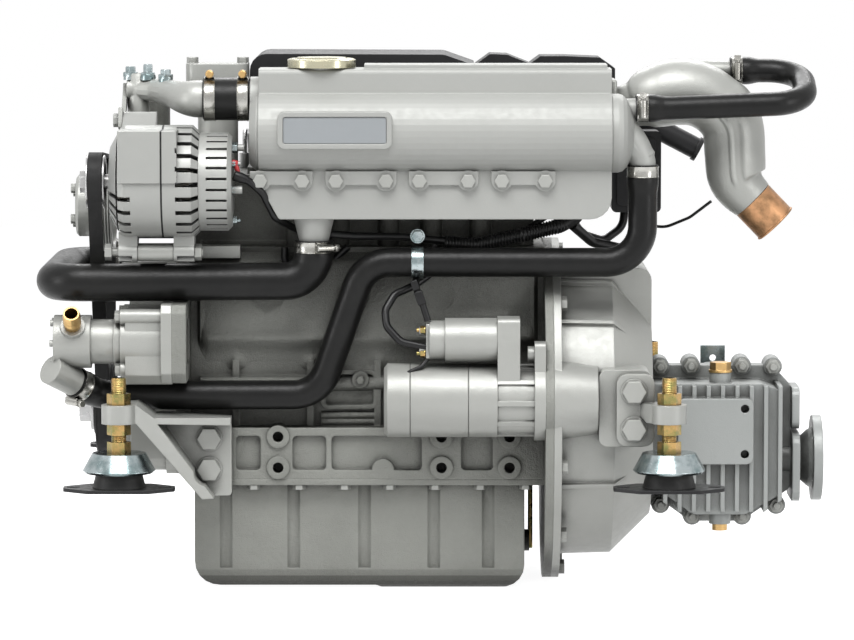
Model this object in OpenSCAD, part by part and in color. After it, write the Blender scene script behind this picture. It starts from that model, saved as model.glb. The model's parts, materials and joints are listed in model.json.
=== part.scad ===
/* [Driveline] */
// Diameter of the output coupling
coupling_d = 102; // [98:1:110]
// Thickness of the output coupling disc
coupling_t = 11; // [8:1:14]
// Bolt circle of the output coupling
coupling_pcd = 82.5; // [80:0.5:84]
// Bolt hole diameter in the output coupling
coupling_hole_d = 10.5; // [8.5:0.5:11]
// Length of the output shaft neck between coupling and gearbox
neck_len = 26; // [20:1:32]
// Length of the gearbox case
gear_len = 170; // [155:1:185]
// Drop from the crankshaft axis to the output axis
gear_drop = 61; // [56:1:66]
// Length of the bell housing
bell_len = 118; // [110:1:126]
// Radius of the bell housing flange, which is also the height of the crankshaft over the base
bell_flange_r = 204; // [198:1:210]
// Outer radius of the bell housing
bell_r = 176; // [172:1:180]
// Thickness of the adapter plate between engine and bell housing
rear_plate_t = 10; // [8:1:14]

/* [Engine block] */
// Length of the engine block
block_len = 417; // [400:1:440]
// Half the width of the crankcase skirt
skirt_half_w = 135; // [130:1:138]
// Half the width of the block above the skirt
block_half_w = 108; // [103:1:110]
// Height of the block deck above the crankshaft axis
deck_h = 201; // [196:1:210]
// Depth of the skirt below the crankshaft axis
skirt_drop = 71; // [66:1:76]
// Height of the skirt
skirt_h = 61; // [55:1:63]
// Height of the cylinder head
head_h = 83; // [78:1:88]
// Half the width of the cylinder head
head_half_w = 82; // [78:1:86]
// Height of the rocker cover
rocker_h = 58; // [52:1:60]
// Thickness of the front plate
front_plate_t = 17; // [12:1:20]
// Length of the timing case
case_len = 60; // [55:1:66]
// Radius of the crankshaft journals
journal_r = 30; // [26:1:34]
// Wall thickness of the oil pan
pan_wall = 3; // [2:0.5:4]

/* [Heat exchanger] */
// Length of the heat exchanger and exhaust manifold casting
tank_len = 410; // [400:1:420]
// Radius of the header tank
tank_r = 50; // [48:1:52]
// Distance of the tank axis from the middle of the engine
tank_off = 150; // [148:1:154]
// Height of the tank axis above the block deck
tank_rise = 136; // [133:1:140]
// Radius of the bore that holds the tube bundle
bundle_r = 38; // [35:1:40]
// Number of tubes in the first ring of the bundle
bundle_tubes = 6; // [5:1:7]
// Outer radius of the exhaust tail
tail_r = 26; // [25:0.5:27]
// Length of the exhaust tail
tail_len = 40; // [36:1:48]

/* [Belt drive] */
// Radius of the crankshaft pulley under the belt
crank_pulley_r = 52; // [48:1:55]
// Radius of the coolant pump pulley under the belt
pump_pulley_r = 55; // [51:1:58]
// Radius of the alternator pulley under the belt
alt_pulley_r = 29; // [27:1:31]
// Width of the belt
belt_w = 16; // [14:1:18]
// Thickness of the belt
belt_t = 5; // [4:0.5:6]
// Number of belt ribs
belt_ribs = 5; // [3:1:6]

/* [Alternator] */
// Radius of the alternator housing
alt_r = 66; // [62:1:68]
// Length of the front half of the alternator housing
alt_front_len = 62; // [58:1:66]
// Length of the rear half of the alternator housing
alt_rear_len = 42; // [38:1:44]
// Length of the alternator end cover
alt_cover_len = 38; // [34:1:42]
// Number of slots round each end of the alternator
alt_slots = 24; // [18:1:26]

/* [Starter] */
// Radius of the starter body
starter_r = 43; // [40:1:44]
// Length of the starter body
starter_len = 132; // [125:1:140]
// Radius of the solenoid
solenoid_r = 26; // [24:1:27]
// Length of the solenoid
solenoid_len = 79; // [75:1:85]

/* [Raw water pump] */
// Radius of the raw water pump body
raw_r = 26; // [24:1:28]
// Number of impeller blades
raw_blades = 8; // [6:1:10]
// Outer radius of the inlet barb
barb_r = 10.5; // [9.5:0.5:11.5]

/* [Hoses] */
// Outer radius of the raw water hose
raw_hose_r = 17; // [15:0.5:17.5]
// Outer radius of the coolant hose
coolant_hose_r = 22; // [20:0.5:23]
// Outer radius of the loop hose to the exhaust elbow
loop_hose_r = 14; // [13:0.5:15]
// Outer radius of the thermostat hose
stat_hose_r = 25; // [23:0.5:26]
// Wall thickness of the hoses
hose_wall = 4; // [3:0.5:4.5]

/* [Mounts] */
// Distance of the mount studs from the middle of the engine
stud_off = 225; // [222:1:235]
// Radius of the mount studs
stud_r = 8; // [6:1:9]
// Length of the mount base plates
base_len = 129; // [124:1:140]
// Width of the mount base plates
base_w = 70; // [64:1:76]
// Distance of the slots of a mount base from its ends
slot_inset = 12; // [11.5:0.5:13]
// Width of the slots of a mount base
slot_w = 11; // [9:1:12]
// Length of the slots of a mount base
slot_len = 16; // [14:1:17]
// Large radius of the mount cups
cup_r = 42; // [39:1:45]

/* [Hidden] */
$fn = 48;
// Overrun of every cut
cut = 1;
// Running clearance of a shaft in its bore, on the radius
fit = 0.05;
// Gap between pieces that move past each other
gap = 0.4;
// Steps in a rounded corner
corner_steps = 5;

// Stations along the engine, from the coupling face forwards
gear_rear_x = -(coupling_t + neck_len);
bell_rear_x = gear_rear_x - gear_len;
bell_front_x = bell_rear_x - bell_len;
block_rear_x = bell_front_x - rear_plate_t;
block_front_x = block_rear_x - block_len;
case_rear_x = block_front_x - front_plate_t;
case_front_x = case_rear_x - case_len;
belt_run_in = 29;
belt_mid_x = case_front_x - belt_run_in;
// Levels above the output axis
crank_z = gear_drop;
ground_z = crank_z - bell_flange_r;
skirt_bottom_z = crank_z - skirt_drop;
skirt_top_z = skirt_bottom_z + skirt_h;
deck_z = crank_z + deck_h;
head_top_z = deck_z + head_h;
rocker_top_z = head_top_z + rocker_h;
tank_y = -tank_off;
tank_z = deck_z + tank_rise;
slot_gap = base_len - 2 * slot_inset;

// Colours of the finishes
cast_grey = [0.56, 0.56, 0.54];
light_grey = [0.74, 0.74, 0.72];
silver_grey = [0.80, 0.80, 0.78];
steel_grey = [0.70, 0.70, 0.72];
zinc_grey = [0.66, 0.72, 0.74];
yellow_zinc = [0.72, 0.58, 0.30];
rubber_black = [0.10, 0.10, 0.10];
plastic_black = [0.12, 0.12, 0.13];
brass_yellow = [0.75, 0.56, 0.28];
copper_red = [0.75, 0.48, 0.30];

// Plain helpers for pieces that lie along the axes
module rod_x(x0, x1, y, z, r) {
  translate([x0, y, z]) rotate([0, 90, 0]) cylinder(h = x1 - x0, r = r);
}
module rod_y(x, y0, y1, z, r) {
  translate([x, y1, z]) rotate([90, 0, 0]) cylinder(h = y1 - y0, r = r);
}
module rod_z(x, y, z0, z1, r) {
  translate([x, y, z0]) cylinder(h = z1 - z0, r = r);
}
module box(x0, x1, y0, y1, z0, z1) {
  translate([x0, y0, z0]) cube([x1 - x0, y1 - y0, z1 - z0]);
}
// An outline in Y and Z drawn out along X, and likewise for the other two axes
module slab_x(x0, x1) {
  translate([x0, 0, 0]) rotate([90, 0, 90]) linear_extrude(x1 - x0) children();
}
module slab_y(y0, y1) {
  translate([0, y1, 0]) rotate([90, 0, 0]) linear_extrude(y1 - y0) children();
}
module slab_z(z0, z1) {
  translate([0, 0, z0]) linear_extrude(z1 - z0) children();
}
// A profile of radius and height turned about an axis along X
module turn_x(x, y, z) {
  translate([x, y, z]) rotate([0, 90, 0]) rotate_extrude() children();
}
module both_sides() {
  children();
  mirror([0, 1, 0]) children();
}
module along(a, d) {
  translate(a) rotate([0, acos(d[2]), atan2(d[1], d[0])]) children();
}
function unit(v) = v / norm(v);
function arc(c, r, a0, a1, n) = [for (i = [0:n]) c + r * [cos(a0 + (a1 - a0) * i / n), sin(a0 + (a1 - a0)
    * i / n)]];
// Corners of an outline, each rounded to its own radius
function round_corner(a, b, c, r) =
  let (u = unit(a - b), v = unit(c - b), half = acos(u * v) / 2, t = r / tan(half),
    m = b + unit(u + v) * r / sin(half), p = b + u * t - m, q = b + v * t - m,
    s = atan2(p[1], p[0]), e = atan2(q[1], q[0]), w = e - s,
    sweep = w > 180 ? w - 360 : w < -180 ? w + 360 : w)
  arc(m, r, s, s + sweep, corner_steps);
function rounded(p, r) = let (n = len(p))
  [for (i = [0:n - 1]) each round_corner(p[(i + n - 1) % n], p[i], p[(i + 1) % n], is_list(r) ? r[i] : r)];
function rect(x0, x1, y0, y1) = [[x0, y0], [x1, y0], [x1, y1], [x0, y1]];
module rounded_box(b, r) { rounded_rect(b[0], b[1], b[2], b[3], r); }
module rounded_rect(x0, x1, y0, y1, r) {
  polygon(rounded(rect(x0, x1, y0, y1), r));
}

// Centre lines: straight runs with a round bend at each inner point
function turn_at(p, i) = acos(unit(p[i] - p[i - 1]) * unit(p[i + 1] - p[i]));
function bend_points(p, i, bend, n) =
  let (d = unit(p[i] - p[i - 1]), e = unit(p[i + 1] - p[i]), a = turn_at(p, i), t = bend * tan(a / 2),
    m = unit(e - (e * d) * d), c = p[i] - t * d + bend * m)
  [for (k = [0:n]) c - bend * m * cos(a * k / n) + bend * d * sin(a * k / n)];
function route(p, bend, n) =
  concat([p[0]], [for (i = [1:len(p) - 2]) each bend_points(p, i, bend, n)], [p[len(p) - 1]]);
function tangent(q, i) = unit(q[min(i + 1, len(q) - 1)] - q[max(i - 1, 0)]);
function upright(d) = unit(cross(d, abs(d[2]) > 0.9 ? [1, 0, 0] : [0, 0, 1]));
// Normals carried along the line without twist
function normals(q) = [for (i = 0, n = upright(tangent(q, 0)); i < len(q);
  i = i + 1, n = i < len(q) ? unit(n - (n * tangent(q, i)) * tangent(q, i)) : n) n];
function ring(c, d, n, r, sides) =
  let (b = cross(d, n)) [for (k = [0:sides - 1]) c + r * (n * cos(360 * k / sides)
      + b * sin(360 * k / sides))];
function skin_faces(rings, sides, from, flip) = [for (i = [0:rings - 2], k = [0:sides - 1])
  let (a = from + i * sides + k, b = from + i * sides + (k + 1) % sides, c = b + sides, e = a + sides)
  each (flip ? [[a, e, b], [b, e, c]] : [[a, b, e], [b, c, e]])];
// A solid bar along the line, with a radius for each point
module sweep(q, r, sides) {
  n = normals(q);
  m = len(q);
  points = [for (i = [0:m - 1]) each ring(q[i], tangent(q, i), n[i], is_list(r) ? r[i] : r, sides)];
  ends = [[for (k = [sides - 1:-1:0]) k], [for (k = [0:sides - 1]) (m - 1) * sides + k]];
  polyhedron(points, concat([for (f = skin_faces(m, sides, 0, false)) [f[2], f[1], f[0]]],
    [for (f = ends) [for (k = [len(f) - 1:-1:0]) f[k]]]), convexity = 8);
}
// A hollow tube along the line
module tube(q, r, inner, sides) {
  n = normals(q);
  m = len(q);
  outer_points = [for (i = [0:m - 1]) each ring(q[i], tangent(q, i), n[i], is_list(r) ? r[i] : r, sides)];
  inner_points = [for (i = [0:m - 1])
    each ring(q[i], tangent(q, i), n[i], is_list(inner) ? inner[i] : inner, sides)];
  from = m * sides;
  first_ring = [for (k = [0:sides - 1]) let (j = (k + 1) % sides) each [[k, from + k, j], [j, from + k,
      from + j]]];
  last = (m - 1) * sides;
  last_ring = [for (k = [0:sides - 1]) let (j = (k + 1) % sides)
    each [[last + k, last + j, from + last + k], [last + j, from + last + j, from + last + k]]];
  faces = concat(skin_faces(m, sides, 0, false), skin_faces(m, sides, from, true), first_ring, last_ring);
  polyhedron(concat(outer_points, inner_points), [for (f = faces) [f[2], f[1], f[0]]], convexity = 8);
}
// Radius of a round spigot that fills a tube with flat sides
function spigot_r(inner, sides) = inner * cos(180 / sides) - gap / 4;

// Hexagon bolts: the head stands on a face and the shank goes down into its hole
function across(af) = af / sqrt(3);
module bolt(r, af, head, shank) {
  cylinder(h = head, r = across(af), $fn = 6);
  translate([0, 0, -shank]) cylinder(h = shank, r = r);
}
module washer_bolt(r, af, head, shank, washer) {
  cylinder(h = washer, r = af * 0.64);
  translate([0, 0, washer]) cylinder(h = head, r = across(af), $fn = 6);
  translate([0, 0, -shank]) cylinder(h = shank, r = r);
}
module bolt_hole(r, shank) {
  translate([0, 0, -shank - fit]) cylinder(h = shank + fit + cut, r = r + fit);
}
module facing_front() { rotate([0, -90, 0]) children(); }
module facing_back() { rotate([0, 90, 0]) children(); }
module facing_near() { rotate([90, 0, 0]) children(); }
module facing_down() { rotate([180, 0, 0]) children(); }

// Engine block: half widths, ribs, bosses and the holes that its neighbours bolt into
jacket_proud = 8;
jacket_h = 112;
jacket_corner = 14;
jacket_end = 12;
rib_proud = 6;
rib_t = 8;
rib_shares = [0.12, 0.33, 0.52];
gallery_r = 9;
gallery_h = 50;
plug_r = 19;
plug_deep = 3;
plug_shares = [0.22, 0.46, 0.70];
// Raised pads on the side, as shares of the length and heights above the skirt: a plug pad, two bars and a plain pad
rib_top_h = 78;
pad_xs = [0.37, 0.53];
pad_zs = [20, 66];
pad_round = 9;
pad_hollow = 4;
bar_zs = [4, 12];
bar_t = 5;
plug_boss_share = 0.481;
plug_boss_h = 55;
plug_boss_r = 10;
plug_boss_proud = 11;
plug_hex_r = 5;
plate_pad_xs = [0.765, 0.90];
plate_pad_drop = [78, 87];
plate_pad_proud = 2.5;
// Crankcase bays between the bearing webs, and the cylinder bores above them
bay_count = 4;
bay_web_t = 24;
bay_half_w = 92;
bay_top_h = 78;
cylinder_r = 39;
bay_pitch = (block_len - bay_web_t) / bay_count;
boss_r = 13.5;
boss_hole_r = 6.2;
boss_hole_deep = 25;
boss_proud = 3;
boss_pitch = 80;
boss_front_inset = 24;
boss_rear_inset = 41;
boss_low_h = 14;
boss_gap_h = 36.5;
pocket_deep = 6;
pocket_corner = 5;
pocket_rail_h = 11;
pocket_top_h = 51.5;
pocket_shares = [[0.13, 0.20], [0.29, 0.385], [0.40, 0.655], [0.765, 0.855]];
arch_share = 0.545;
arch_r = 13;
boss_low_z = skirt_bottom_z + boss_low_h;
boss_high_z = boss_low_z + boss_gap_h;
boss_xs = [block_front_x + boss_front_inset, block_front_x + boss_front_inset + boss_pitch,
  block_rear_x - boss_rear_inset - boss_pitch, block_rear_x - boss_rear_inset];
bracket_bolt_r = 6;
bracket_bolt_af = 24;
bracket_bolt_head = 8;
pan_bolt_r = 4;
pan_bolt_af = 13;
pan_bolt_head = 5.5;
pan_bolt_shank = 12;
pan_bolt_count = 8;
pan_flange_t = 7;
pan_flange_w = 15;
pan_bolt_inset = 22;
pan_bolt_off = skirt_half_w - pan_flange_w / 2;
function block_x(share) = block_front_x + share * block_len;
dip_share = 0.972;
dip_x = block_x(dip_share);
dip_y = 99;
dip_r = 3;
dip_low_h = 20;
dip_low_z = ground_z + dip_low_h;

module pan_bolt_places() {
  step = (block_len - 2 * pan_bolt_inset) / (pan_bolt_count - 1);
  for (i = [0:pan_bolt_count - 1], s = [-1, 1])
    translate([block_front_x + pan_bolt_inset + i * step, s * pan_bolt_off, skirt_bottom_z - pan_flange_t])
      facing_down() children();
}
module boss_places() {
  for (x = boss_xs, z = [boss_low_z, boss_high_z])
    translate([x, -skirt_half_w - boss_proud, z]) facing_near() children();
}
module block_side() {
  yw = -block_half_w;
  jacket_z = deck_z - jacket_h;
  slab_x(block_front_x + jacket_end, block_rear_x - jacket_end)
    polygon(rounded(rect(yw - jacket_proud, yw + jacket_proud, jacket_z, deck_z - jacket_end),
      [jacket_corner / 2, 1 * fit, 1 * fit, jacket_corner / 2]));
  for (s = rib_shares)
    box(block_x(s), block_x(s) + rib_t, yw - rib_proud, yw, skirt_top_z, skirt_top_z + rib_top_h);
  slab_y(yw - rib_proud, yw) difference() {
    rounded_rect(block_x(pad_xs[0]), block_x(pad_xs[1]), skirt_top_z + pad_zs[0], skirt_top_z + pad_zs[1],
        pad_round);
    rounded_rect(block_x(pad_xs[0]) + bar_t, block_x(pad_xs[1]) - bar_t, skirt_top_z + pad_zs[0] + bar_t,
      skirt_top_z + pad_zs[1] - bar_t, pad_hollow);
  }
  for (z = bar_zs)
    rod_x(block_x(pad_xs[0]), block_x(pad_xs[1]), yw, skirt_top_z + z, bar_t);
  rod_y(block_x(plug_boss_share), yw - plug_boss_proud, yw, skirt_top_z + plug_boss_h, plug_boss_r);
  translate([block_x(plug_boss_share), yw - plug_boss_proud, skirt_top_z + plug_boss_h]) facing_near()
    cylinder(h = bar_t, r = plug_hex_r, $fn = 6);
  slab_y(yw - jacket_proud - plate_pad_proud, yw)
    rounded_rect(block_x(plate_pad_xs[0]), block_x(plate_pad_xs[1]), deck_z - plate_pad_drop[1],
      deck_z - plate_pad_drop[0], plate_pad_proud);
  rod_x(block_front_x + jacket_end, block_rear_x - jacket_end, yw, skirt_top_z + gallery_h, gallery_r);
  for (x = boss_xs) {
    for (z = [boss_low_z, boss_high_z])
      rod_y(x, -skirt_half_w - boss_proud, -block_half_w, z, boss_r);
    box(x - boss_r / 2, x + boss_r / 2, -skirt_half_w, -block_half_w, boss_low_z, boss_high_z);
  }
}
module crankcase_bays() {
  for (i = [0:bay_count - 1])
    let (x0 = block_front_x + bay_web_t + i * bay_pitch, x1 = x0 + bay_pitch - bay_web_t) {
      box(x0, x1, -bay_half_w, bay_half_w, skirt_bottom_z - cut, crank_z + bay_top_h);
      rod_z((x0 + x1) / 2, 0, crank_z + bay_top_h - cut, deck_z + cut, cylinder_r);
    }
}
module block_pockets() {
  low = skirt_bottom_z + pocket_rail_h;
  for (p = pocket_shares)
    slab_y(-skirt_half_w - cut, -skirt_half_w + pocket_deep) difference() {
      rounded_rect(block_x(p[0]), block_x(p[1]), low, skirt_bottom_z + pocket_top_h, pocket_corner);
      if (p[0] < arch_share && arch_share < p[1])
        translate([block_x(arch_share), low]) circle(r = arch_r);
    }
}
module engine_block() {
  color(cast_grey) difference() {
    union() {
      box(block_front_x, block_rear_x, -block_half_w, block_half_w, skirt_top_z - cut, deck_z);
      box(block_front_x, block_rear_x, -skirt_half_w, skirt_half_w, skirt_bottom_z, skirt_top_z);
      both_sides() block_side();
    }
    rod_x(block_front_x - cut, block_rear_x + cut, 0, crank_z, journal_r + fit);
    rod_z(dip_x, dip_y, skirt_bottom_z - cut, deck_z + cut, dip_r + gap);
    crankcase_bays();
    both_sides() {
      block_pockets();
      boss_places() bolt_hole(boss_hole_r, boss_hole_deep);
      for (s = plug_shares)
        rod_y(block_x(s), -block_half_w - jacket_proud - cut, plug_deep - block_half_w - jacket_proud,
          deck_z - jacket_h / 2, plug_r);
    }
    pan_bolt_places() bolt_hole(pan_bolt_r, pan_bolt_shank);
  }
}

// Oil pan: a pressed tray with beads down its sides and a deeper rear half
pan_half_w = 119;
pan_front_inset = 5;
pan_rear_inset = 23;
pan_corner = 30;
pan_low_corner = 24;
pan_step = 4;
pan_step_share = 0.55;
bead_r = 9;
bead_deep = 4;
bead_shares = [0.095, 0.30, 0.515, 0.725, 0.89];
bead_stop = 26;
drain_r = 13;
drain_head = 8;
pan_front_x = block_front_x + pan_front_inset;
pan_rear_x = block_rear_x - pan_rear_inset;
pan_top_z = skirt_bottom_z - pan_flange_t;

module pan_form(inset) {
  mid_x = pan_front_x + pan_step_share * (pan_rear_x - pan_front_x);
  intersection() {
    slab_y(-pan_half_w + inset, pan_half_w - inset) polygon(rounded([
      [pan_front_x + inset, pan_top_z + cut], [pan_front_x + inset, ground_z + pan_step + inset],
      [mid_x, ground_z + pan_step + inset], [mid_x + 2 * pan_step, ground_z + inset],
      [pan_rear_x - inset, ground_z + inset], [pan_rear_x - inset, pan_top_z + cut]],
      [cut / 2, pan_corner, pan_step, pan_step, pan_corner, cut / 2]));
    slab_x(pan_front_x, pan_rear_x) polygon(rounded([
      [-pan_half_w + inset, pan_top_z + cut], [-pan_half_w + inset, ground_z + inset],
      [pan_half_w - inset, ground_z + inset], [pan_half_w - inset, pan_top_z + cut]],
      [cut / 2, pan_low_corner, pan_low_corner, cut / 2]));
  }
}
module oil_pan() {
  color(cast_grey) difference() {
    union() {
      box(block_front_x, block_rear_x, -skirt_half_w, skirt_half_w, pan_top_z, skirt_bottom_z);
      difference() {
        pan_form(0);
        both_sides() for (s = bead_shares)
          rod_z(pan_front_x + s * (pan_rear_x - pan_front_x), -pan_half_w - bead_r + bead_deep,
            ground_z + bead_stop, pan_top_z + cut, bead_r);
      }
      rod_x(pan_rear_x - cut, pan_rear_x + drain_head, 0, ground_z + pan_corner + drain_r, drain_r);
    }
    intersection() {
      pan_form(pan_wall + bead_deep);
      box(pan_front_x, pan_rear_x, -pan_half_w, pan_half_w, ground_z, skirt_bottom_z - pan_wall);
    }
    rod_z(dip_x, dip_y, pan_top_z, skirt_bottom_z + cut, dip_r + gap);
    pan_bolt_places() bolt_hole(pan_bolt_r, pan_bolt_shank);
  }
}

// Cylinder head with its exhaust port bosses on the near side
port_shares = [0.30, 0.42, 0.56, 0.68, 0.82];
port_r = 13;
port_proud = 6;
head_rear_inset = 12;
head_rib_t = 6;
port_top_h = 34;
module cylinder_head() {
  color(cast_grey) union() {
    box(block_front_x, block_rear_x - head_rear_inset, -head_half_w, head_half_w, deck_z, head_top_z);
    for (s = port_shares)
      rod_z(block_x(s), -head_half_w + port_r - port_proud - port_r / 2, deck_z, deck_z + port_top_h,
        port_r);
    both_sides()
      box(block_front_x + jacket_end, block_rear_x - head_rear_inset - jacket_end,
        -head_half_w - head_rib_t / 2, -head_half_w, deck_z, deck_z + head_rib_t);
  }
}

// Rocker cover: an arched cover with a flange and the seat of the oil filler
rocker_half_w = 58;
rocker_inset = 14;
rocker_front_inset = 74;
rocker_flange_t = 8;
rocker_flange_w = 8;
rocker_corner = 22;
rocker_front_x = block_front_x + rocker_front_inset;
rocker_rear_x = block_rear_x - rocker_inset - head_rear_inset;
filler_share = 0.91;
filler_y = -34;
filler_r = 17;
filler_h = 14;
filler_x = rocker_front_x + filler_share * (rocker_rear_x - rocker_front_x);
module rocker_cover() {
  color(cast_grey) difference() {
    union() {
      slab_z(head_top_z, head_top_z + rocker_flange_t)
        rounded_rect(rocker_front_x - rocker_flange_w, rocker_rear_x + rocker_flange_w,
          -rocker_half_w - rocker_flange_w, rocker_half_w + rocker_flange_w, rocker_flange_w * 2);
      slab_x(rocker_front_x, rocker_rear_x) polygon(rounded(
        rect(-rocker_half_w, rocker_half_w, head_top_z, rocker_top_z),
        [cut, cut, rocker_corner, rocker_corner]));
      rod_z(filler_x, filler_y, head_top_z, rocker_top_z + filler_h, filler_r);
    }
    rod_z(filler_x, filler_y, rocker_top_z - filler_h, rocker_top_z + filler_h + cut, filler_r - hose_wall);
  }
}
cap_plug_h = 12;
oil_cap_r = 24;
oil_cap_h = 10;
oil_cap_lobes = 6;
module oil_cap() {
  top = rocker_top_z + filler_h;
  color(plastic_black) union() {
    rod_z(filler_x, filler_y, top - cap_plug_h, top + cut, filler_r - hose_wall - fit);
    rod_z(filler_x, filler_y, top, top + oil_cap_h, oil_cap_r - hose_wall);
    for (i = [0:oil_cap_lobes - 1])
      translate([filler_x, filler_y, top]) rotate(360 * i / oil_cap_lobes)
        translate([oil_cap_r - hose_wall, 0, 0]) cylinder(h = oil_cap_h, r = hose_wall);
  }
}

// Intake manifold on the far side, fed from the air silencer above it
runner_r = 17;
runner_h = 38;
log_off = 132;
log_r = 23;
log_shares = [0.14, 0.80];
runner_shares = [0.2, 0.38, 0.56, 0.74];
log_z = deck_z + runner_h;
inlet_share = 0.48;
inlet_r = 22;
inlet_top_z = rocker_top_z - rocker_h / 2;
inlet_flange_r = 31;
inlet_flange_t = 8;
module intake_manifold() {
  color(light_grey) union() {
    rod_x(block_x(log_shares[0]), block_x(log_shares[1]), log_off, log_z, log_r);
    for (s = runner_shares)
      rod_y(block_x(s), head_half_w, log_off, log_z, runner_r);
    rod_z(block_x(inlet_share), log_off, log_z, inlet_top_z, inlet_r);
    rod_z(block_x(inlet_share), log_off, inlet_top_z - inlet_flange_t, inlet_top_z, inlet_flange_r);
    slab_y(head_half_w, head_half_w + inlet_flange_t)
      rounded_rect(block_x(runner_shares[0]) - inlet_flange_r, block_x(runner_shares[3]) + inlet_flange_r,
        log_z - log_r, log_z + log_r, inlet_flange_t);
  }
}

// Air silencer: a moulded box on the rocker cover, its duct to the rear and a cut-off inlet pipe
silencer_near = 20;
silencer_far = 156;
silencer_h = 83;
silencer_corner = 20;
silencer_shares = [0.163, 0.718, 0.806];
slope_drop = 14;
duct_near = 20;
duct_far = 90;
duct_shares = [0.806, 0.85, 0.90, 0.965, 0.995, 1.065, 1.165, 1.21];
duct_h_shares = [0.82, 0.98, 0.97, 0.84, 0.95, 0.95, 0.93, 0.77];
duct_low_share = 0.40;
pipe_r = 13;
pipe_wall = 2;
pipe_from = [-255, 60, 425];
pipe_to = [-144, 60, 367];
pipe_start_in = 12;
lip_t = 5;
silencer_top_z = rocker_top_z + silencer_h;
module air_silencer() {
  low = rocker_top_z;
  d = unit(pipe_to - pipe_from);
  color(plastic_black) {
    union() {
      slab_y(-silencer_near, silencer_far) polygon(rounded([
        [block_x(silencer_shares[0]), low], [block_x(silencer_shares[0]), silencer_top_z],
        [block_x(silencer_shares[1]), silencer_top_z - cut],
        [block_x(silencer_shares[2]), silencer_top_z - slope_drop],
        [block_x(silencer_shares[2]), low]],
        [silencer_corner / 4, silencer_corner, silencer_corner, cut, silencer_corner / 4]));
      rod_z(block_x(inlet_share), log_off, inlet_top_z, low + cut, inlet_r);
    }
    difference() {
      union() {
        slab_y(duct_near, duct_far) polygon(concat(
          [[block_x(duct_shares[7]), low + duct_low_share * slope_drop],
          [block_x(duct_shares[7]) - slope_drop, low], [block_x(duct_shares[0]), low]],
          [for (i = [0:7]) [block_x(duct_shares[i]), low + silencer_h * duct_h_shares[i]]]));
        along(pipe_from, d) cylinder(h = norm(pipe_to - pipe_from), r = pipe_r);
        along(pipe_to - lip_t * d, d) cylinder(h = lip_t, r = pipe_r + pipe_wall);
      }
      along(pipe_from + pipe_start_in * d, d)
        cylinder(h = norm(pipe_to - pipe_from), r = pipe_r - pipe_wall);
    }
  }
}

// Heat exchanger: the header tank, the exhaust log behind it and the flat skirt that the bolts pass
tank_front_inset = 83.5;
tank_front_x = block_front_x + tank_front_inset;
tank_rear_x = tank_front_x + tank_len;
tank_back = head_half_w;
skirt_face = 26;
tank_skirt_low = 99;
tank_skirt_high = 43;
box_face = 17;
box_back = 104;
box_top_high = 80;
box_low_top = 75;
box_corner = 5;
log_top_high = 40;
tank_nose_share = 0.057;
tank_nose_high = 56;
tank_heel_r = 25;
manifold_bolt_shares = [0.0044, 0.1237, 0.219, 0.361, 0.455, 0.593, 0.6885, 0.811];
manifold_bolt_r = 5;
manifold_bolt_af = 15;
manifold_bolt_head = 6;
manifold_bolt_shank = 60;
manifold_bolt_low = 54;
lug_r = 12;
lug_proud = 4;
lug_waist = 5;
neck_r = 30;
neck_h = 5;
cap_share = 0.177;
cap_step_share = 0.299;
neck_x = tank_front_x + cap_share * tank_len;
neck_y = (tank_y - box_face - box_back) / 2;
low_top_z = tank_z + box_low_top;
high_top_z = tank_z + box_top_high;
spout_share = 0.155;
spout_x = tank_front_x + spout_share * tank_len;
spout_top_r = 24;
spout_low = 125;
spout_tip = 13;
plate_shares = [0.056, 0.378];
plate_low = 16;
plate_high = 27;
frame_w = 6;
frame_proud = 3;
plate_t = 2;
plate_corner = 8;
skirt_y = tank_y - skirt_face;
tank_low_z = tank_z - tank_skirt_low;
function tank_x(share) = tank_front_x + share * tank_len;

module manifold_bolt_places() {
  for (s = manifold_bolt_shares)
    translate([tank_x(s), skirt_y - lug_proud, tank_z - manifold_bolt_low]) facing_near() children();
}
module tank_profile() {
  low_a = 180 + asin(tank_skirt_high / tank_r);
  high_a = 180 - acos(box_face / tank_r);
  polygon(concat(
    [[-tank_back, tank_low_z], [skirt_y, tank_low_z], [skirt_y, tank_z - tank_skirt_high]],
    [for (i = [0:16]) let (a = low_a + (high_a - low_a) * i / 16)
      [tank_y + tank_r * cos(a), tank_z + tank_r * sin(a)]],
    arc([tank_y - box_face + box_corner, low_top_z - box_corner], box_corner, 180, 90, 3),
    [[-box_back, low_top_z], [-box_back, tank_z + log_top_high], [-tank_back, tank_z + log_top_high]]));
}
module tank_lugs() {
  z = tank_z - manifold_bolt_low;
  for (i = [0:2:6]) {
    x0 = tank_x(manifold_bolt_shares[i]);
    x1 = tank_x(manifold_bolt_shares[i + 1]);
    for (x = [x0, x1]) {
      rod_y(x, skirt_y - lug_proud, skirt_y + cut, z, lug_r);
      box(x - lug_r, x + lug_r, skirt_y - lug_proud, skirt_y + cut, z, z + lug_r - cut);
    }
    box(x0, x1, skirt_y - lug_proud, skirt_y + cut, z - lug_waist, z + lug_r - cut);
  }
}
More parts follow.
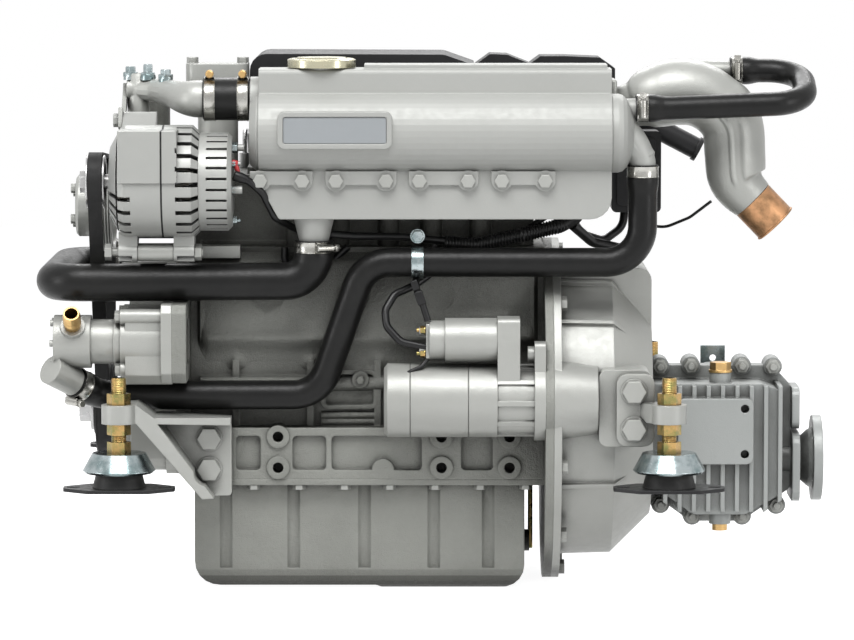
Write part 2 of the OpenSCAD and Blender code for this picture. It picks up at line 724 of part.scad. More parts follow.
module heat_exchanger() {
  plate_z = [tank_z - plate_low, tank_z + plate_high];
  color(silver_grey) difference() {
    union() {
      intersection() {
        slab_x(tank_front_x, tank_rear_x) tank_profile();
        slab_y(skirt_y - tank_r, cut) polygon(rounded([
          [tank_front_x, low_top_z + cut], [tank_front_x, tank_z - tank_nose_high],
          [tank_x(tank_nose_share), tank_low_z], [tank_rear_x, tank_low_z],
          [tank_rear_x, low_top_z + cut]], [cut / 2, box_corner, box_corner, tank_heel_r, cut / 2]));
      }
      box(tank_x(cap_step_share), tank_rear_x - box_corner, tank_y - box_face + box_corner, -box_back,
        low_top_z - cut, high_top_z);
      tank_lugs();
      rod_z(neck_x, neck_y, low_top_z - cut, low_top_z + neck_h, neck_r);
      slab_y(tank_y - tank_r - frame_proud, tank_y - tank_r / 2)
        rounded_rect(tank_x(plate_shares[0]), tank_x(plate_shares[1]), plate_z[0], plate_z[1],
            plate_corner);
      translate([spout_x, tank_y, tank_z - spout_low])
        cylinder(h = spout_low - tank_skirt_low + cut, r1 = spigot_r(coolant_hose_r - hose_wall,
            hose_sides),
          r2 = spout_top_r);
      rod_z(spout_x, tank_y, tank_z - spout_low - spout_tip, tank_z - spout_low + fit,
        spigot_r(coolant_hose_r - hose_wall, hose_sides));
    }
    rod_x(tank_front_x - cut, tank_rear_x + cut, tank_y, tank_z, bundle_r);
    rod_z(neck_x, neck_y, tank_z, low_top_z + neck_h + cut, neck_r - hose_wall);
    slab_y(tank_y - tank_r - frame_proud - cut, tank_y - tank_r - frame_proud + plate_t)
      rounded_rect(tank_x(plate_shares[0]) + frame_w, tank_x(plate_shares[1]) - frame_w,
        plate_z[0] + frame_w, plate_z[1] - frame_w, plate_corner - frame_w + cut);
    manifold_bolt_places() bolt_hole(manifold_bolt_r, manifold_bolt_shank);
  }
}
module manifold_bolts() {
  color(light_grey) manifold_bolt_places()
    bolt(manifold_bolt_r, manifold_bolt_af, manifold_bolt_head, manifold_bolt_shank);
}
module name_plate() {
  y = tank_y - tank_r - frame_proud + plate_t;
  color(steel_grey) slab_y(y - plate_t / 2, y)
    rounded_rect(tank_x(plate_shares[0]) + frame_w + gap, tank_x(plate_shares[1]) - frame_w - gap,
      tank_z - plate_low + frame_w + gap, tank_z + plate_high - frame_w - gap, plate_corner - frame_w);
}
// The bundle: rings of tubes between two end discs, with baffles along them
bundle_inset = 1;
bundle_disc_t = 6;
bundle_tube_r = 4;
bundle_baffles = 3;
bundle_ring_share = 0.42;
bundle_outer_share = 0.80;
module tube_bundle() {
  x0 = tank_front_x + bundle_inset;
  x1 = tank_rear_x - bundle_inset;
  color(copper_red) union() {
    for (i = [0:bundle_baffles + 1])
      let (x = x0 + (x1 - x0 - bundle_disc_t) * i / (bundle_baffles + 1))
      rod_x(x, x + bundle_disc_t, tank_y, tank_z, bundle_r - fit);
    rod_x(x0, x1, tank_y, tank_z, bundle_tube_r);
    for (n = [1, 2], i = [0:n * bundle_tubes - 1])
      let (r = bundle_r * (n == 1 ? bundle_ring_share : bundle_outer_share),
          a = 360 * i / (n * bundle_tubes))
      rod_x(x0, x1, tank_y + r * cos(a), tank_z + r * sin(a), bundle_tube_r);
  }
}
// End caps: a flat chamfered cap in front, a domed one behind with its two spigots
front_cap_t = 10.5;
front_cap_r = 45;
front_cap_chamfer = 8;
rear_cap_r = 46;
rear_cap_skirt = 8;
rear_cap_dome = 20;
loop_spigot_high = 29;
loop_spigot_len = 26;
raw_spigot_drop = 37;
raw_spigot_out = 37;
raw_spigot_len = 24;
stat_boss_r = 26;
stat_spigot_len = 24;
loop_z = tank_z + loop_spigot_high;
raw_top = [tank_rear_x + raw_spigot_out, tank_y, tank_z - raw_spigot_drop];
dome_steps = 6;
module end_caps() {
  tip = spigot_r(raw_hose_r - hose_wall, hose_sides);
  loop_tip = spigot_r(loop_hose_r - hose_wall / 2, loop_sides);
  color(silver_grey) {
    turn_x(tank_front_x - front_cap_t, tank_y, tank_z) polygon([[0, 0], [front_cap_r - front_cap_chamfer,
        0],
      [front_cap_r, front_cap_chamfer], [front_cap_r, front_cap_t], [0, front_cap_t]]);
    rod_x(tank_front_x - front_cap_t, tank_front_x, stat_y, stat_z, stat_boss_r);
    rod_x(tank_front_x - front_cap_t - stat_spigot_len, tank_front_x - front_cap_t + cut, stat_y, stat_z,
        stat_pipe_r);
    union() {
      turn_x(tank_rear_x, tank_y, tank_z) polygon(concat([[0, 0], [rear_cap_r, 0], [rear_cap_r,
          rear_cap_skirt]],
        [for (i = [1:dome_steps]) let (a = 90 * i / dome_steps)
          [rear_cap_r * cos(a), rear_cap_skirt + rear_cap_dome * sin(a)]]));
      rod_x(tank_rear_x + rear_cap_skirt / 2, tank_rear_x + rear_cap_skirt + rear_cap_dome
          + loop_spigot_len,
        tank_y, loop_z, loop_tip);
      sweep([[tank_rear_x + rear_cap_skirt, tank_y, tank_z - rear_cap_r / 4],
        raw_top + [-raw_spigot_len / 2, 0, raw_spigot_len], raw_top + [0, 0, raw_spigot_len / 3],
        raw_top, raw_top - [0, 0, raw_spigot_len]],
        [rear_cap_r / 2, tip * 1.5, tip * 1.25, tip, tip], hose_sides);
    }
  }
}
// Pressure cap over the filler neck
pressure_cap_r = 40;
pressure_cap_h = 12;
pressure_cap_top_t = 3;
pressure_cap_lift = 1;
cap_skirt_t = 4;
module pressure_cap() {
  z = low_top_z + pressure_cap_lift;
  color(yellow_zinc) translate([neck_x, neck_y, z]) rotate_extrude() polygon([[0, pressure_cap_h],
    [0, neck_h - pressure_cap_lift + gap / 4], [neck_r + gap, neck_h - pressure_cap_lift + gap / 4],
    [neck_r + gap, 0], [pressure_cap_r, 0], [pressure_cap_r, pressure_cap_h - pressure_cap_top_t],
    [pressure_cap_r - pressure_cap_top_t, pressure_cap_h - pressure_cap_top_t / 2],
    [pressure_cap_r - 2 * cap_skirt_t, pressure_cap_h - pressure_cap_top_t],
    [pressure_cap_r - 3 * cap_skirt_t, pressure_cap_h]]);
}

// Exhaust elbow: a swelling bend, with a raised water band, that carries the tail and the injection spigot
elbow_at = [tank_rear_x, tank_y, tank_z];
elbow_path = [[1, 79, 26], [13, 79, 26.5], [30, 75, 31], [50, 71, 37], [71, 70, 42], [94, 70, 43], [116,
    70, 39],
  [134, 70, 24], [144.5, 70, 2], [147, 70, -28], [149, 70, -53], [156, 70, -68], [169.5, 70, -82]];
elbow_line = [for (p = elbow_path) elbow_at + p];
elbow_radii = [24, 25, 29, 33, 36, 37, 37, 36, 34.5, 34, 33, 30, 26.5];
elbow_sides = 18;
elbow_flange_t = 9;
elbow_flange_w = 9;
elbow_flange_r = 34;
injection_at = [108, 100, 69];
injection_from = elbow_at + injection_at;
injection_len = 62;
injection_r = 12;
tail_dir = unit(elbow_line[len(elbow_line) - 1] - elbow_line[len(elbow_line) - 2]);
tail_from = elbow_line[len(elbow_line) - 1] + gap * tail_dir;
elbow_wall = 4;
module exhaust_elbow() {
  color(silver_grey) union() {
    tube(elbow_line, elbow_radii, [for (r = elbow_radii) r - elbow_wall], elbow_sides);
    along(injection_from, [1, 0, 0]) cylinder(h = injection_len, r = spigot_r(loop_hose_r - hose_wall / 2,
        loop_sides));
    along(injection_from + [-injection_r, 0, -injection_r], [1, 0, 0])
      cylinder(h = injection_len / 2 + injection_r, r = injection_r * 1.2);
    slab_x(tank_rear_x, tank_rear_x + elbow_flange_t)
      rounded_rect(elbow_line[0][1] - elbow_radii[0], elbow_line[0][1] + elbow_flange_r,
        elbow_line[0][2] - elbow_flange_r, elbow_line[0][2] + elbow_flange_r, elbow_flange_w);
  }
}
tail_wall = 2;
module exhaust_tail() {
  color(copper_red) difference() {
    along(tail_from, tail_dir) cylinder(h = tail_len, r = tail_r);
    along(tail_from - cut * tail_dir, tail_dir) cylinder(h = tail_len + 2 * cut, r = tail_r - tail_wall);
  }
}

// Hoses: centre lines chosen by hand, from spigot to spigot
hose_sides = 12;
loop_sides = 10;
bend_steps = 4;
hose_off = 26;
hose_side_y = -(block_half_w + hose_off);
raw_y = -168;
raw_z = 156;
raw_out_x = -884;
raw_out_side = 2;
raw_out_drop = 48;
raw_elbow_x = -856;
raw_elbow_z = 90;
raw_elbow_out = 6;
raw_turn_xs = [-545, -600];
raw_out_from = [raw_out_x, raw_y + raw_out_side, raw_z - raw_out_drop];
raw_bend = 42;
raw_elbow = [raw_elbow_x, hose_side_y - raw_elbow_out, raw_elbow_z];
raw_out_dir = unit(raw_elbow - raw_out_from);
raw_run_z = 247;
raw_line = [raw_top, [raw_top[0], tank_y, raw_run_z], [raw_turn_xs[0], tank_y, raw_run_z],
  [raw_turn_xs[1], hose_side_y, raw_elbow_z],
  raw_elbow, raw_out_from];
coolant_bend = 34;
coolant_out_y = -174;
coolant_top_z = tank_z - spout_low;
coolant_run_z = 225;
coolant_front_x = -908;
coolant_far_y = 100;
coolant_stub_len = 16;
coolant_tip_len = 14;
coolant_end_x = case_front_x - coolant_stub_len;
coolant_line = [[spout_x, tank_y, coolant_top_z], [spout_x, tank_y, coolant_run_z],
  [coolant_front_x, coolant_out_y, coolant_run_z], [coolant_front_x, coolant_far_y, coolant_run_z],
  [coolant_end_x, coolant_far_y, coolant_run_z]];
loop_bend = 40;
loop_start_x = tank_rear_x + rear_cap_skirt + rear_cap_dome + gap;
loop_reach = 228.5;
loop_rise = [6, 35];
loop_tip_in = 36;
loop_far_x = tank_rear_x + loop_reach;
loop_line = [[loop_start_x, tank_y, loop_z], [loop_start_x + loop_bend, tank_y, loop_z],
  [loop_far_x, tank_y + loop_rise[0], tank_z + loop_rise[1]], [loop_far_x, injection_from[1],
      injection_from[2]],
  injection_from + [loop_tip_in, 0, 0]];
stat_y = -130;
stat_rise = 39;
stat_hose_reach = 66;
stat_seat = 1;
stat_z = tank_z + stat_rise;
stat_x0 = tank_front_x - stat_hose_reach;
stat_x1 = tank_front_x - front_cap_t - stat_seat;
module raw_water_hose() {
  color(rubber_black) tube(route(raw_line, raw_bend, bend_steps), raw_hose_r, raw_hose_r - hose_wall,
      hose_sides);
}
module coolant_hose() {
  color(rubber_black) tube(route(coolant_line, coolant_bend, bend_steps + 1), coolant_hose_r,
    coolant_hose_r - hose_wall, hose_sides);
}
module loop_hose() {
  color(rubber_black) tube(route(loop_line, loop_bend, bend_steps + 1), loop_hose_r,
    loop_hose_r - hose_wall / 2, loop_sides);
}
stat_pipe_r = stat_hose_r - hose_wall;
module thermostat_hose() {
  color(rubber_black) difference() {
    rod_x(stat_x0, stat_x1, stat_y, stat_z, stat_hose_r);
    rod_x(stat_x0 - cut, stat_x1 + cut, stat_y, stat_z, stat_pipe_r + fit);
  }
}
// Clamps: a band with its worm screw housing, each laid across a hose end
band_w = 12;
band_t = 1.2;
worm_len = 16;
worm_h = 7;
worm_r = 3;
worm_head_r = 4;
clamp_inset = 8;
module clamp(r, spin) {
  inner = r + gap / 4;
  rotate(spin) translate([0, 0, -band_w / 2]) difference() {
    union() {
      cylinder(h = band_w, r = inner + band_t);
      translate([inner, -worm_len / 2, 0]) cube([worm_h, worm_len, band_w]);
      translate([inner + worm_h / 2, -worm_len, band_w / 2]) rotate([-90, 0, 0]) cylinder(h = worm_len,
          r = worm_r);
      translate([inner + worm_h / 2, -worm_len - worm_r, band_w / 2]) rotate([-90, 0, 0])
        cylinder(h = worm_r * 1.5, r = worm_head_r, $fn = 6);
    }
    translate([0, 0, -cut]) cylinder(h = band_w + 2 * cut, r = inner);
  }
}
p_clamp_x = -484;
p_clamp_w = 14;
p_clamp_t = 3;
p_tab_h = 34;
p_bolt_r = 9;
module hose_clamps() {
  raw_z0 = raw_top[2] - clamp_inset;
  color(steel_grey) {
    translate([raw_top[0], tank_y, raw_z0]) clamp(raw_hose_r, 0);
    along(raw_out_from + clamp_inset * raw_out_dir, raw_out_dir) clamp(raw_hose_r, 30);
    translate([spout_x, tank_y, coolant_top_z - clamp_inset]) clamp(coolant_hose_r, -60);
    translate([coolant_end_x - clamp_inset, coolant_far_y, coolant_run_z]) facing_back()
      clamp(coolant_hose_r, 180);
    translate([loop_start_x + clamp_inset, tank_y, loop_z]) facing_back() clamp(loop_hose_r, 180);
    translate(injection_from + [loop_tip_in + clamp_inset, 0, 0]) facing_back()
      clamp(loop_hose_r, 180);
    for (x = [stat_x0 + clamp_inset, stat_x1 - clamp_inset])
      translate([x, stat_y, stat_z]) facing_back() clamp(stat_hose_r, 180);
  }
  color(zinc_grey) difference() {
    union() {
      rod_x(p_clamp_x - p_clamp_w / 2, p_clamp_x + p_clamp_w / 2, tank_y, raw_run_z, raw_hose_r + gap / 4
          + p_clamp_t);
      box(p_clamp_x - p_clamp_w / 2, p_clamp_x + p_clamp_w / 2, tank_y - p_clamp_t, tank_y + p_clamp_t,
        raw_run_z + raw_hose_r, tank_low_z);
      rod_y(p_clamp_x, tank_y - p_clamp_t * 3, tank_y, raw_run_z + raw_hose_r + p_tab_h * 0.6, p_bolt_r);
    }
    rod_x(p_clamp_x - p_clamp_w, p_clamp_x + p_clamp_w, tank_y, raw_run_z, raw_hose_r + gap / 4);
  }
}

// Water outlet: thermostat tower, its cover and the pipe across the front to the header tank
stat_tower_in = 30;
stat_tower_x = block_front_x + stat_tower_in;
stat_tower_y = -20;
stat_tower_r = 24;
stat_cover_z = 464;
stat_cover_t = 11;
stat_cover_len = 74;
stat_cover_w = 60;
stat_bolt_r = 7;
outlet_line = [[-827, -48, 445], [-813, -50, 445], [-792, -64, 444], [-772, -90, 441], [-757, -114, 438],
  [-744, stat_y, stat_z], [-730, stat_y, stat_z], [-711, stat_y, stat_z]];
outlet_radii = [13, 13, 13.5, 16, 19];
outlet_sides = 14;
outlet_foot = [-815, -48];
outlet_foot_drop = 30;
outlet_foot_top = 462;
module water_outlet() {
  tower_z = stat_cover_z - stat_cover_t;
  tip = stat_pipe_r - gap / 4;
  color(light_grey) {
    union() {
      rod_z(stat_tower_x, stat_tower_y, head_top_z + rocker_flange_t, tower_z, stat_tower_r);
      slab_z(tower_z, stat_cover_z) rounded_rect(stat_tower_x - stat_cover_len / 2,
        stat_tower_x + stat_cover_len / 2, stat_tower_y - stat_cover_w / 2, stat_tower_y + stat_cover_w / 2,
        stat_tower_r / 2);
      sweep(outlet_line, concat(outlet_radii, [tip, tip, tip]), outlet_sides);
      rod_z(outlet_foot[0], outlet_foot[1], stat_z - outlet_foot_drop, outlet_foot_top, outlet_radii[0]);
    }
    union() {
      slab_z(stat_cover_z, stat_cover_z + stat_cover_t) rounded_rect(stat_tower_x - stat_cover_len / 2,
        stat_tower_x + stat_cover_len / 2, stat_tower_y - stat_cover_w / 2,
        stat_tower_y + stat_cover_w / 2, stat_tower_r / 2);
      for (s = [-1, 1]) translate([stat_tower_x + s * (stat_cover_len / 2 - stat_bolt_r), stat_tower_y,
        stat_cover_z + stat_cover_t]) cylinder(h = stat_bolt_r, r = stat_bolt_r, $fn = 6);
    }
  }
}

// Coolant pump on the front of the head
pump_y = 0;
pump_rise = 243;
pump_gap = 12;
pump_neck_x = -800;
pump_neck_top = 430;
pump_neck_r = 20;
pump_z = crank_z + pump_rise;
pump_body_r = 38;
pump_flange_r = 46;
pump_flange_t = 12;
pump_nose_r = 24;
pump_nose_len = 28;
pump_shaft_r = 8;
pump_body_x = belt_mid_x + belt_w / 2 + pump_gap;
module coolant_pump() {
  color(cast_grey) difference() {
    union() {
      rod_x(pump_body_x + pump_nose_len, block_front_x, pump_y, pump_z, pump_body_r);
      rod_x(block_front_x - pump_flange_t, block_front_x, pump_y, pump_z, pump_flange_r);
      rod_x(pump_body_x, block_front_x, pump_y, pump_z, pump_nose_r);
      rod_z(pump_neck_x, pump_y, pump_z + pump_nose_r, pump_neck_top, pump_neck_r);
    }
    rod_x(pump_body_x - cut, block_front_x - pump_flange_t, pump_y, pump_z, pump_shaft_r + fit);
  }
}

// Timing case, the plate behind it and the plate at the rear of the block
case_points = [[-112, -8], [112, -8], [122, 70], [130, 236], [112, 252], [60, 252], [-60, 246], [-120, 202],
  [-204, 202], [-210, 192], [-210, 122], [-200, 110], [-113, 110]];
case_round = [18, 18, 40, 12, 8, 12, 30, 6, 4, 4, 4, 4, 3];
case_inset = 7;
case_half_w = 130;
case_rim_t = 12;
case_recess = 6;
raw_housing_r = 34;
case_bolt_points = [[-96, 8], [0, 4], [96, 8], [108, 90], [112, 140], [118, 192], [62, 240], [0, 240],
    [-56, 232],
  [-193, 187], [-189, 125], [-112, 186], [-98, 60]];
case_bolt_r = 4;
case_bolt_af = 13;
case_bolt_head = 6;
case_bolt_shank = 70;
seal_r = 40;
seal_len = 8;
module case_bolt_places() {
  for (p = case_bolt_points) translate([case_front_x, p[0], p[1]]) facing_front() children();
}
module timing_case() {
  color(light_grey) difference() {
    union() {
      slab_x(case_rear_x - case_rim_t, case_rear_x) polygon(rounded(case_points, case_round));
      slab_x(case_front_x + case_recess, case_rear_x)
        polygon(rounded([for (p = case_points) p * (1 - case_inset / case_half_w) + [0, case_inset / 2]],
          [for (r = case_round) r * 0.85]));
      for (p = case_bolt_points) rod_x(case_front_x, case_rear_x, p[0], p[1], case_bolt_r * 2.2);
      rod_x(case_front_x, case_rear_x, raw_y, raw_z, raw_housing_r);
      rod_x(case_front_x - seal_len, case_rear_x, 0, crank_z, seal_r + seal_len);
      rod_x(coolant_end_x + cut, case_front_x + case_recess + cut, coolant_far_y, coolant_run_z,
        coolant_hose_r - hose_wall / 2);
      rod_x(coolant_end_x - coolant_tip_len, coolant_end_x + 2 * cut, coolant_far_y, coolant_run_z,
        spigot_r(coolant_hose_r - hose_wall, hose_sides));
    }
    rod_x(case_front_x - seal_len - cut, case_rear_x + cut, 0, crank_z, journal_r + fit);
    rod_x(case_front_x - cut, case_front_x + 2 * seal_len, raw_y, raw_z, raw_shaft_r + fit);
    case_bolt_places() bolt_hole(case_bolt_r, case_bolt_shank);
  }
}
rear_plate_bolts = 12;
rear_bolt_r = 5;
rear_bolt_af = 15;
rear_bolt_head = 7;
rear_bolt_shank = 14;
module bell_outline(r) {
  difference() {
    translate([0, crank_z]) circle(r = r);
    translate([-r - cut, ground_z - r]) square([2 * (r + cut), r]);
  }
}
starter_off = 59;
starter_y = -(block_half_w + starter_off);
starter_rise = 26;
starter_gap = 13;
starter_z = crank_z + starter_rise;
starter_pad_r = 47;
starter_x1 = block_rear_x - starter_gap;
module bell_bolt_places(x) {
  bolt_ring = bell_flange_r - rear_bolt_af * 0.75;
  for (i = [0:rear_plate_bolts - 1])
    let (a = 360 * (i + 0.5) / rear_plate_bolts)
    if (abs(a - 165) > 5)
      translate([x, bolt_ring * cos(a), crank_z + bolt_ring * sin(a)])
        facing_back() children();
}
pinion_hole_r = 30;
plate_window = [-184, -124, 128, 184];
plate_window_r = 12;
module end_plates() {
  color(cast_grey) {
    difference() {
      slab_x(case_rear_x, block_front_x) polygon(rounded(case_points, case_round));
      rod_x(case_rear_x - cut, block_front_x + cut, 0, crank_z, journal_r + fit);
      case_bolt_places() bolt_hole(case_bolt_r, case_bolt_shank + front_plate_t);
      slab_x(case_rear_x - cut, block_front_x + cut)
        rounded_box(plate_window, plate_window_r);
    }
    difference() {
      union() {
        slab_x(block_rear_x, bell_front_x) bell_outline(bell_flange_r);
        rod_x(block_rear_x, bell_front_x, starter_y, starter_z, starter_pad_r);
      }
      rod_x(block_rear_x - cut, bell_front_x + cut, 0, crank_z, journal_r + fit);
      rod_x(block_rear_x - cut, bell_front_x + cut, starter_y, starter_z, pinion_hole_r);
      bell_bolt_places(bell_front_x + bell_flange_t) bolt_hole(rear_bolt_r, rear_bolt_shank);
    }
  }
}
// All the small bolts of the casings
gear_washer_t = 1.5;
gear_nut_h = 8;
gear_stud_h = 13;
module gear_nut(r, af) {
  cylinder(h = gear_washer_t, r = af * 0.62);
  cylinder(h = gear_nut_h, r = across(af), $fn = 6);
  cylinder(h = gear_stud_h, r = r);
}
module casing_bolts() {
  color(steel_grey) {
    pan_bolt_places() bolt(pan_bolt_r, pan_bolt_af, pan_bolt_head, pan_bolt_shank);
    case_bolt_places() bolt(case_bolt_r, case_bolt_af, case_bolt_head, case_bolt_shank);
    bell_bolt_places(bell_front_x + bell_flange_t) bolt(rear_bolt_r, rear_bolt_af, rear_bolt_head,
        rear_bolt_shank);
    gear_bolt_places() gear_nut(gear_bolt_r, gear_bolt_af);
    mirror([0, 1, 0]) gear_bolt_places() bolt(gear_bolt_r, gear_bolt_af, gear_bolt_head, gear_split_deep);
  }
}

// Raw water pump: a body with its slotted flange, the head with two ports and its cover
raw_flange_t = 8;
raw_flange_r = 29.5;
raw_head_len = 36;
raw_head_r = 31;
raw_cover_t = 7;
raw_body_len = 78;
raw_shaft_r = 6;
raw_cavity_r = 22;
raw_front_x = case_front_x - raw_body_len;
raw_in_dir = unit([0, -0.8, 0.62]);
raw_in_back = 16;
raw_in_from = [raw_front_x + raw_cover_t + raw_in_back, raw_y, raw_z];
raw_neck_len = 40;
raw_neck_gap = 1;
raw_tip_in = 2;
raw_tip_len = 22;
raw_screw_r = 4;
raw_screw_in = 5;
barb_len = 26;
port_len = 34;
module raw_pump_body() {
  head_x = raw_front_x + raw_cover_t;
  color(cast_grey) difference() {
    union() {
      rod_x(head_x + raw_head_len - cut, case_front_x, raw_y, raw_z, raw_r);
      rod_x(case_front_x - raw_flange_t, case_front_x, raw_y, raw_z, raw_flange_r);
      rod_x(head_x, head_x + raw_head_len, raw_y, raw_z, raw_head_r);
      along(raw_in_from, raw_in_dir) cylinder(h = port_len, r = barb_r + hose_wall);
      along(raw_out_from - raw_neck_len * raw_out_dir, raw_out_dir)
        cylinder(h = raw_neck_len - raw_neck_gap, r = raw_hose_r);
      along(raw_out_from - raw_tip_in * raw_out_dir, raw_out_dir)
        cylinder(h = raw_tip_len, r = spigot_r(raw_hose_r - hose_wall, hose_sides));
    }
    rod_x(head_x - cut, head_x + raw_head_len - hose_wall, raw_y, raw_z, raw_cavity_r);
    rod_x(head_x, case_front_x + cut, raw_y, raw_z, raw_shaft_r + fit);
    along(raw_in_from, raw_in_dir) cylinder(h = port_len + cut, r = barb_r - barb_wall + barb_step);
  }
  color(cast_grey) union() {
    rod_x(raw_front_x, head_x, raw_y, raw_z, raw_head_r);
    for (i = [0:5]) rod_x(raw_front_x - raw_screw_r, head_x, raw_y + (raw_head_r - raw_screw_in)
        * cos(60 * i),
      raw_z + (raw_head_r - raw_screw_in) * sin(60 * i), raw_screw_r);
  }
}
impeller_hub_r = 11;
blade_t = 2.5;
module raw_pump_rotor() {
  head_x = raw_front_x + raw_cover_t;
  x0 = head_x + gap;
  x1 = head_x + raw_head_len - hose_wall - gap;
  color(rubber_black) union() {
    slab_x(x0, x1) translate([raw_y, raw_z]) union() {
      circle(r = impeller_hub_r);
      for (i = [0:raw_blades - 1]) rotate(360 * i / raw_blades) translate([0, -blade_t / 2])
        square([raw_cavity_r - gap, blade_t]);
    }
    rod_x(x1 - cut, case_front_x + 2 * seal_len - fit, raw_y, raw_z, raw_shaft_r);
  }
}
barb_step = 1;
barb_wall = 3;
plug_x = -124;
plug_share = 0.62;
plug_hex_h = 12;
plug_af = 22;
plug_seat = 4;
plug_collar_t = 3;
plug_collar_r = 14;
gear_drain_head = 5;
gear_drain_r = 9;
function plug_y() = -gear_half_w * plug_share;
module brass_fittings() {
  color(brass_yellow) {
    along(raw_in_from + port_len * raw_in_dir, raw_in_dir) difference() {
      union() {
        cylinder(h = barb_len, r = barb_r - barb_step);
        for (i = [0:2]) translate([0, 0, barb_len * (0.3 + 0.24 * i)])
          cylinder(h = barb_len * 0.2, r1 = barb_r, r2 = barb_r - barb_step);
      }
      translate([0, 0, -cut]) cylinder(h = barb_len + 2 * cut, r = barb_r - barb_wall);
    }
    translate([plug_x, plug_y(), gear_top_z - plug_seat]) union() {
      cylinder(h = plug_hex_h, r = across(plug_af), $fn = 6);
      cylinder(h = plug_collar_t, r = plug_collar_r);
    }
    rod_z(plug_x, plug_y(), gear_low_z - gear_drain_head, gear_low_z + plug_collar_t, gear_drain_r);
  }
}

// Starter: body, solenoid above it and the drive end against the rear plate
drive_len = 43;
starter_x0 = starter_x1 - drive_len - starter_len;
starter_cap_len = 30;
starter_groove = 1;
starter_edge = [5, 4];
sol_side = 8;
sol_rise = 71;
sol_y = starter_y - sol_side;
sol_z = starter_z + sol_rise;
sol_cap_step = 3;
sol_cap_len = 18;
sol_stud_len = 12;
sol_stud_side = 4;
sol_stud_off = 11;
sol_stud_r = 5;
sol_block_t = 4;
sol_block_ys = [-14, 12];
sol_block_half_h = 20;
module starter_motor() {
  rear = starter_len * 0.74;
  color(light_grey) turn_x(starter_x0, starter_y, starter_z) polygon([[0, 0], [starter_r - starter_edge[0],
      0],
      [starter_r, starter_edge[1]],
      [starter_r, starter_cap_len], [starter_r - starter_groove, starter_cap_len],
      [starter_r - starter_groove, starter_cap_len + starter_groove],
      [starter_r, starter_cap_len + starter_groove], [starter_r, rear], [starter_r - starter_groove, rear],
      [starter_r - starter_groove, rear + starter_groove], [starter_r, rear + starter_groove],
      [starter_r, starter_len], [0, starter_len]]);
}
module starter_solenoid() {
  x1 = starter_x1 - drive_len;
  x0 = x1 - solenoid_len;
  color(light_grey) union() {
    turn_x(x0, sol_y, sol_z) polygon([[0, 0], [solenoid_r - sol_cap_step, 0],
      [solenoid_r - sol_cap_step, sol_cap_len], [solenoid_r, sol_cap_len],
      [solenoid_r, solenoid_len], [0, solenoid_len]]);
    for (s = [-1, 1]) rod_x(x0 - sol_stud_len, x0, sol_y - sol_stud_side, sol_z + s * sol_stud_off,
        sol_stud_r);
    box(x0 - sol_block_t, x0, sol_y + sol_block_ys[0], sol_y + sol_block_ys[1], sol_z - sol_block_half_h,
      sol_z + sol_block_half_h);
  }
}
drive_plate_t = 26;
drive_outline = [[-34, 0], [34, 0], [19, 79], [12, 98], [-32, 98], [-35, 71]];
drive_ear = [[-30, 20], [-32, 70], [-4, 70], [24, 20]];
drive_round = 6;
drive_rib_t = 6;
drive_bolt_at = [-18, 56];
drive_bolt_head = 8;
drive_bolt_r = 9;
drive_wall = 8;
drive_bore_r = 20;
module starter_drive_end() {
  axis = [starter_y, starter_z];
  x0 = starter_x1 - drive_len;
  color(light_grey) difference() {
    union() {
      rod_x(x0, starter_x1, starter_y, starter_z, starter_r * 0.94);
      rod_x(starter_x1, block_rear_x, starter_y, starter_z, starter_pad_r);
      slab_x(x0, x0 + drive_plate_t) polygon(rounded([for (p = drive_outline) axis + p], drive_round));
      for (a = [20:35:160], turn = [0, 180]) translate([x0, starter_y, starter_z]) rotate([a + turn, 0, 0])
        translate([0, -drive_rib_t / 2, 0]) cube([drive_len, drive_rib_t, starter_r]);
      slab_x(starter_x1, block_rear_x) polygon(rounded([for (p = drive_ear) axis + p], drive_round));
      rod_x(starter_x1 - drive_bolt_head, starter_x1 + cut, starter_y + drive_bolt_at[0],
        starter_z + drive_bolt_at[1], drive_bolt_r);
    }
    rod_x(x0 + drive_wall, block_rear_x + cut, starter_y, starter_z, drive_bore_r);
  }
}

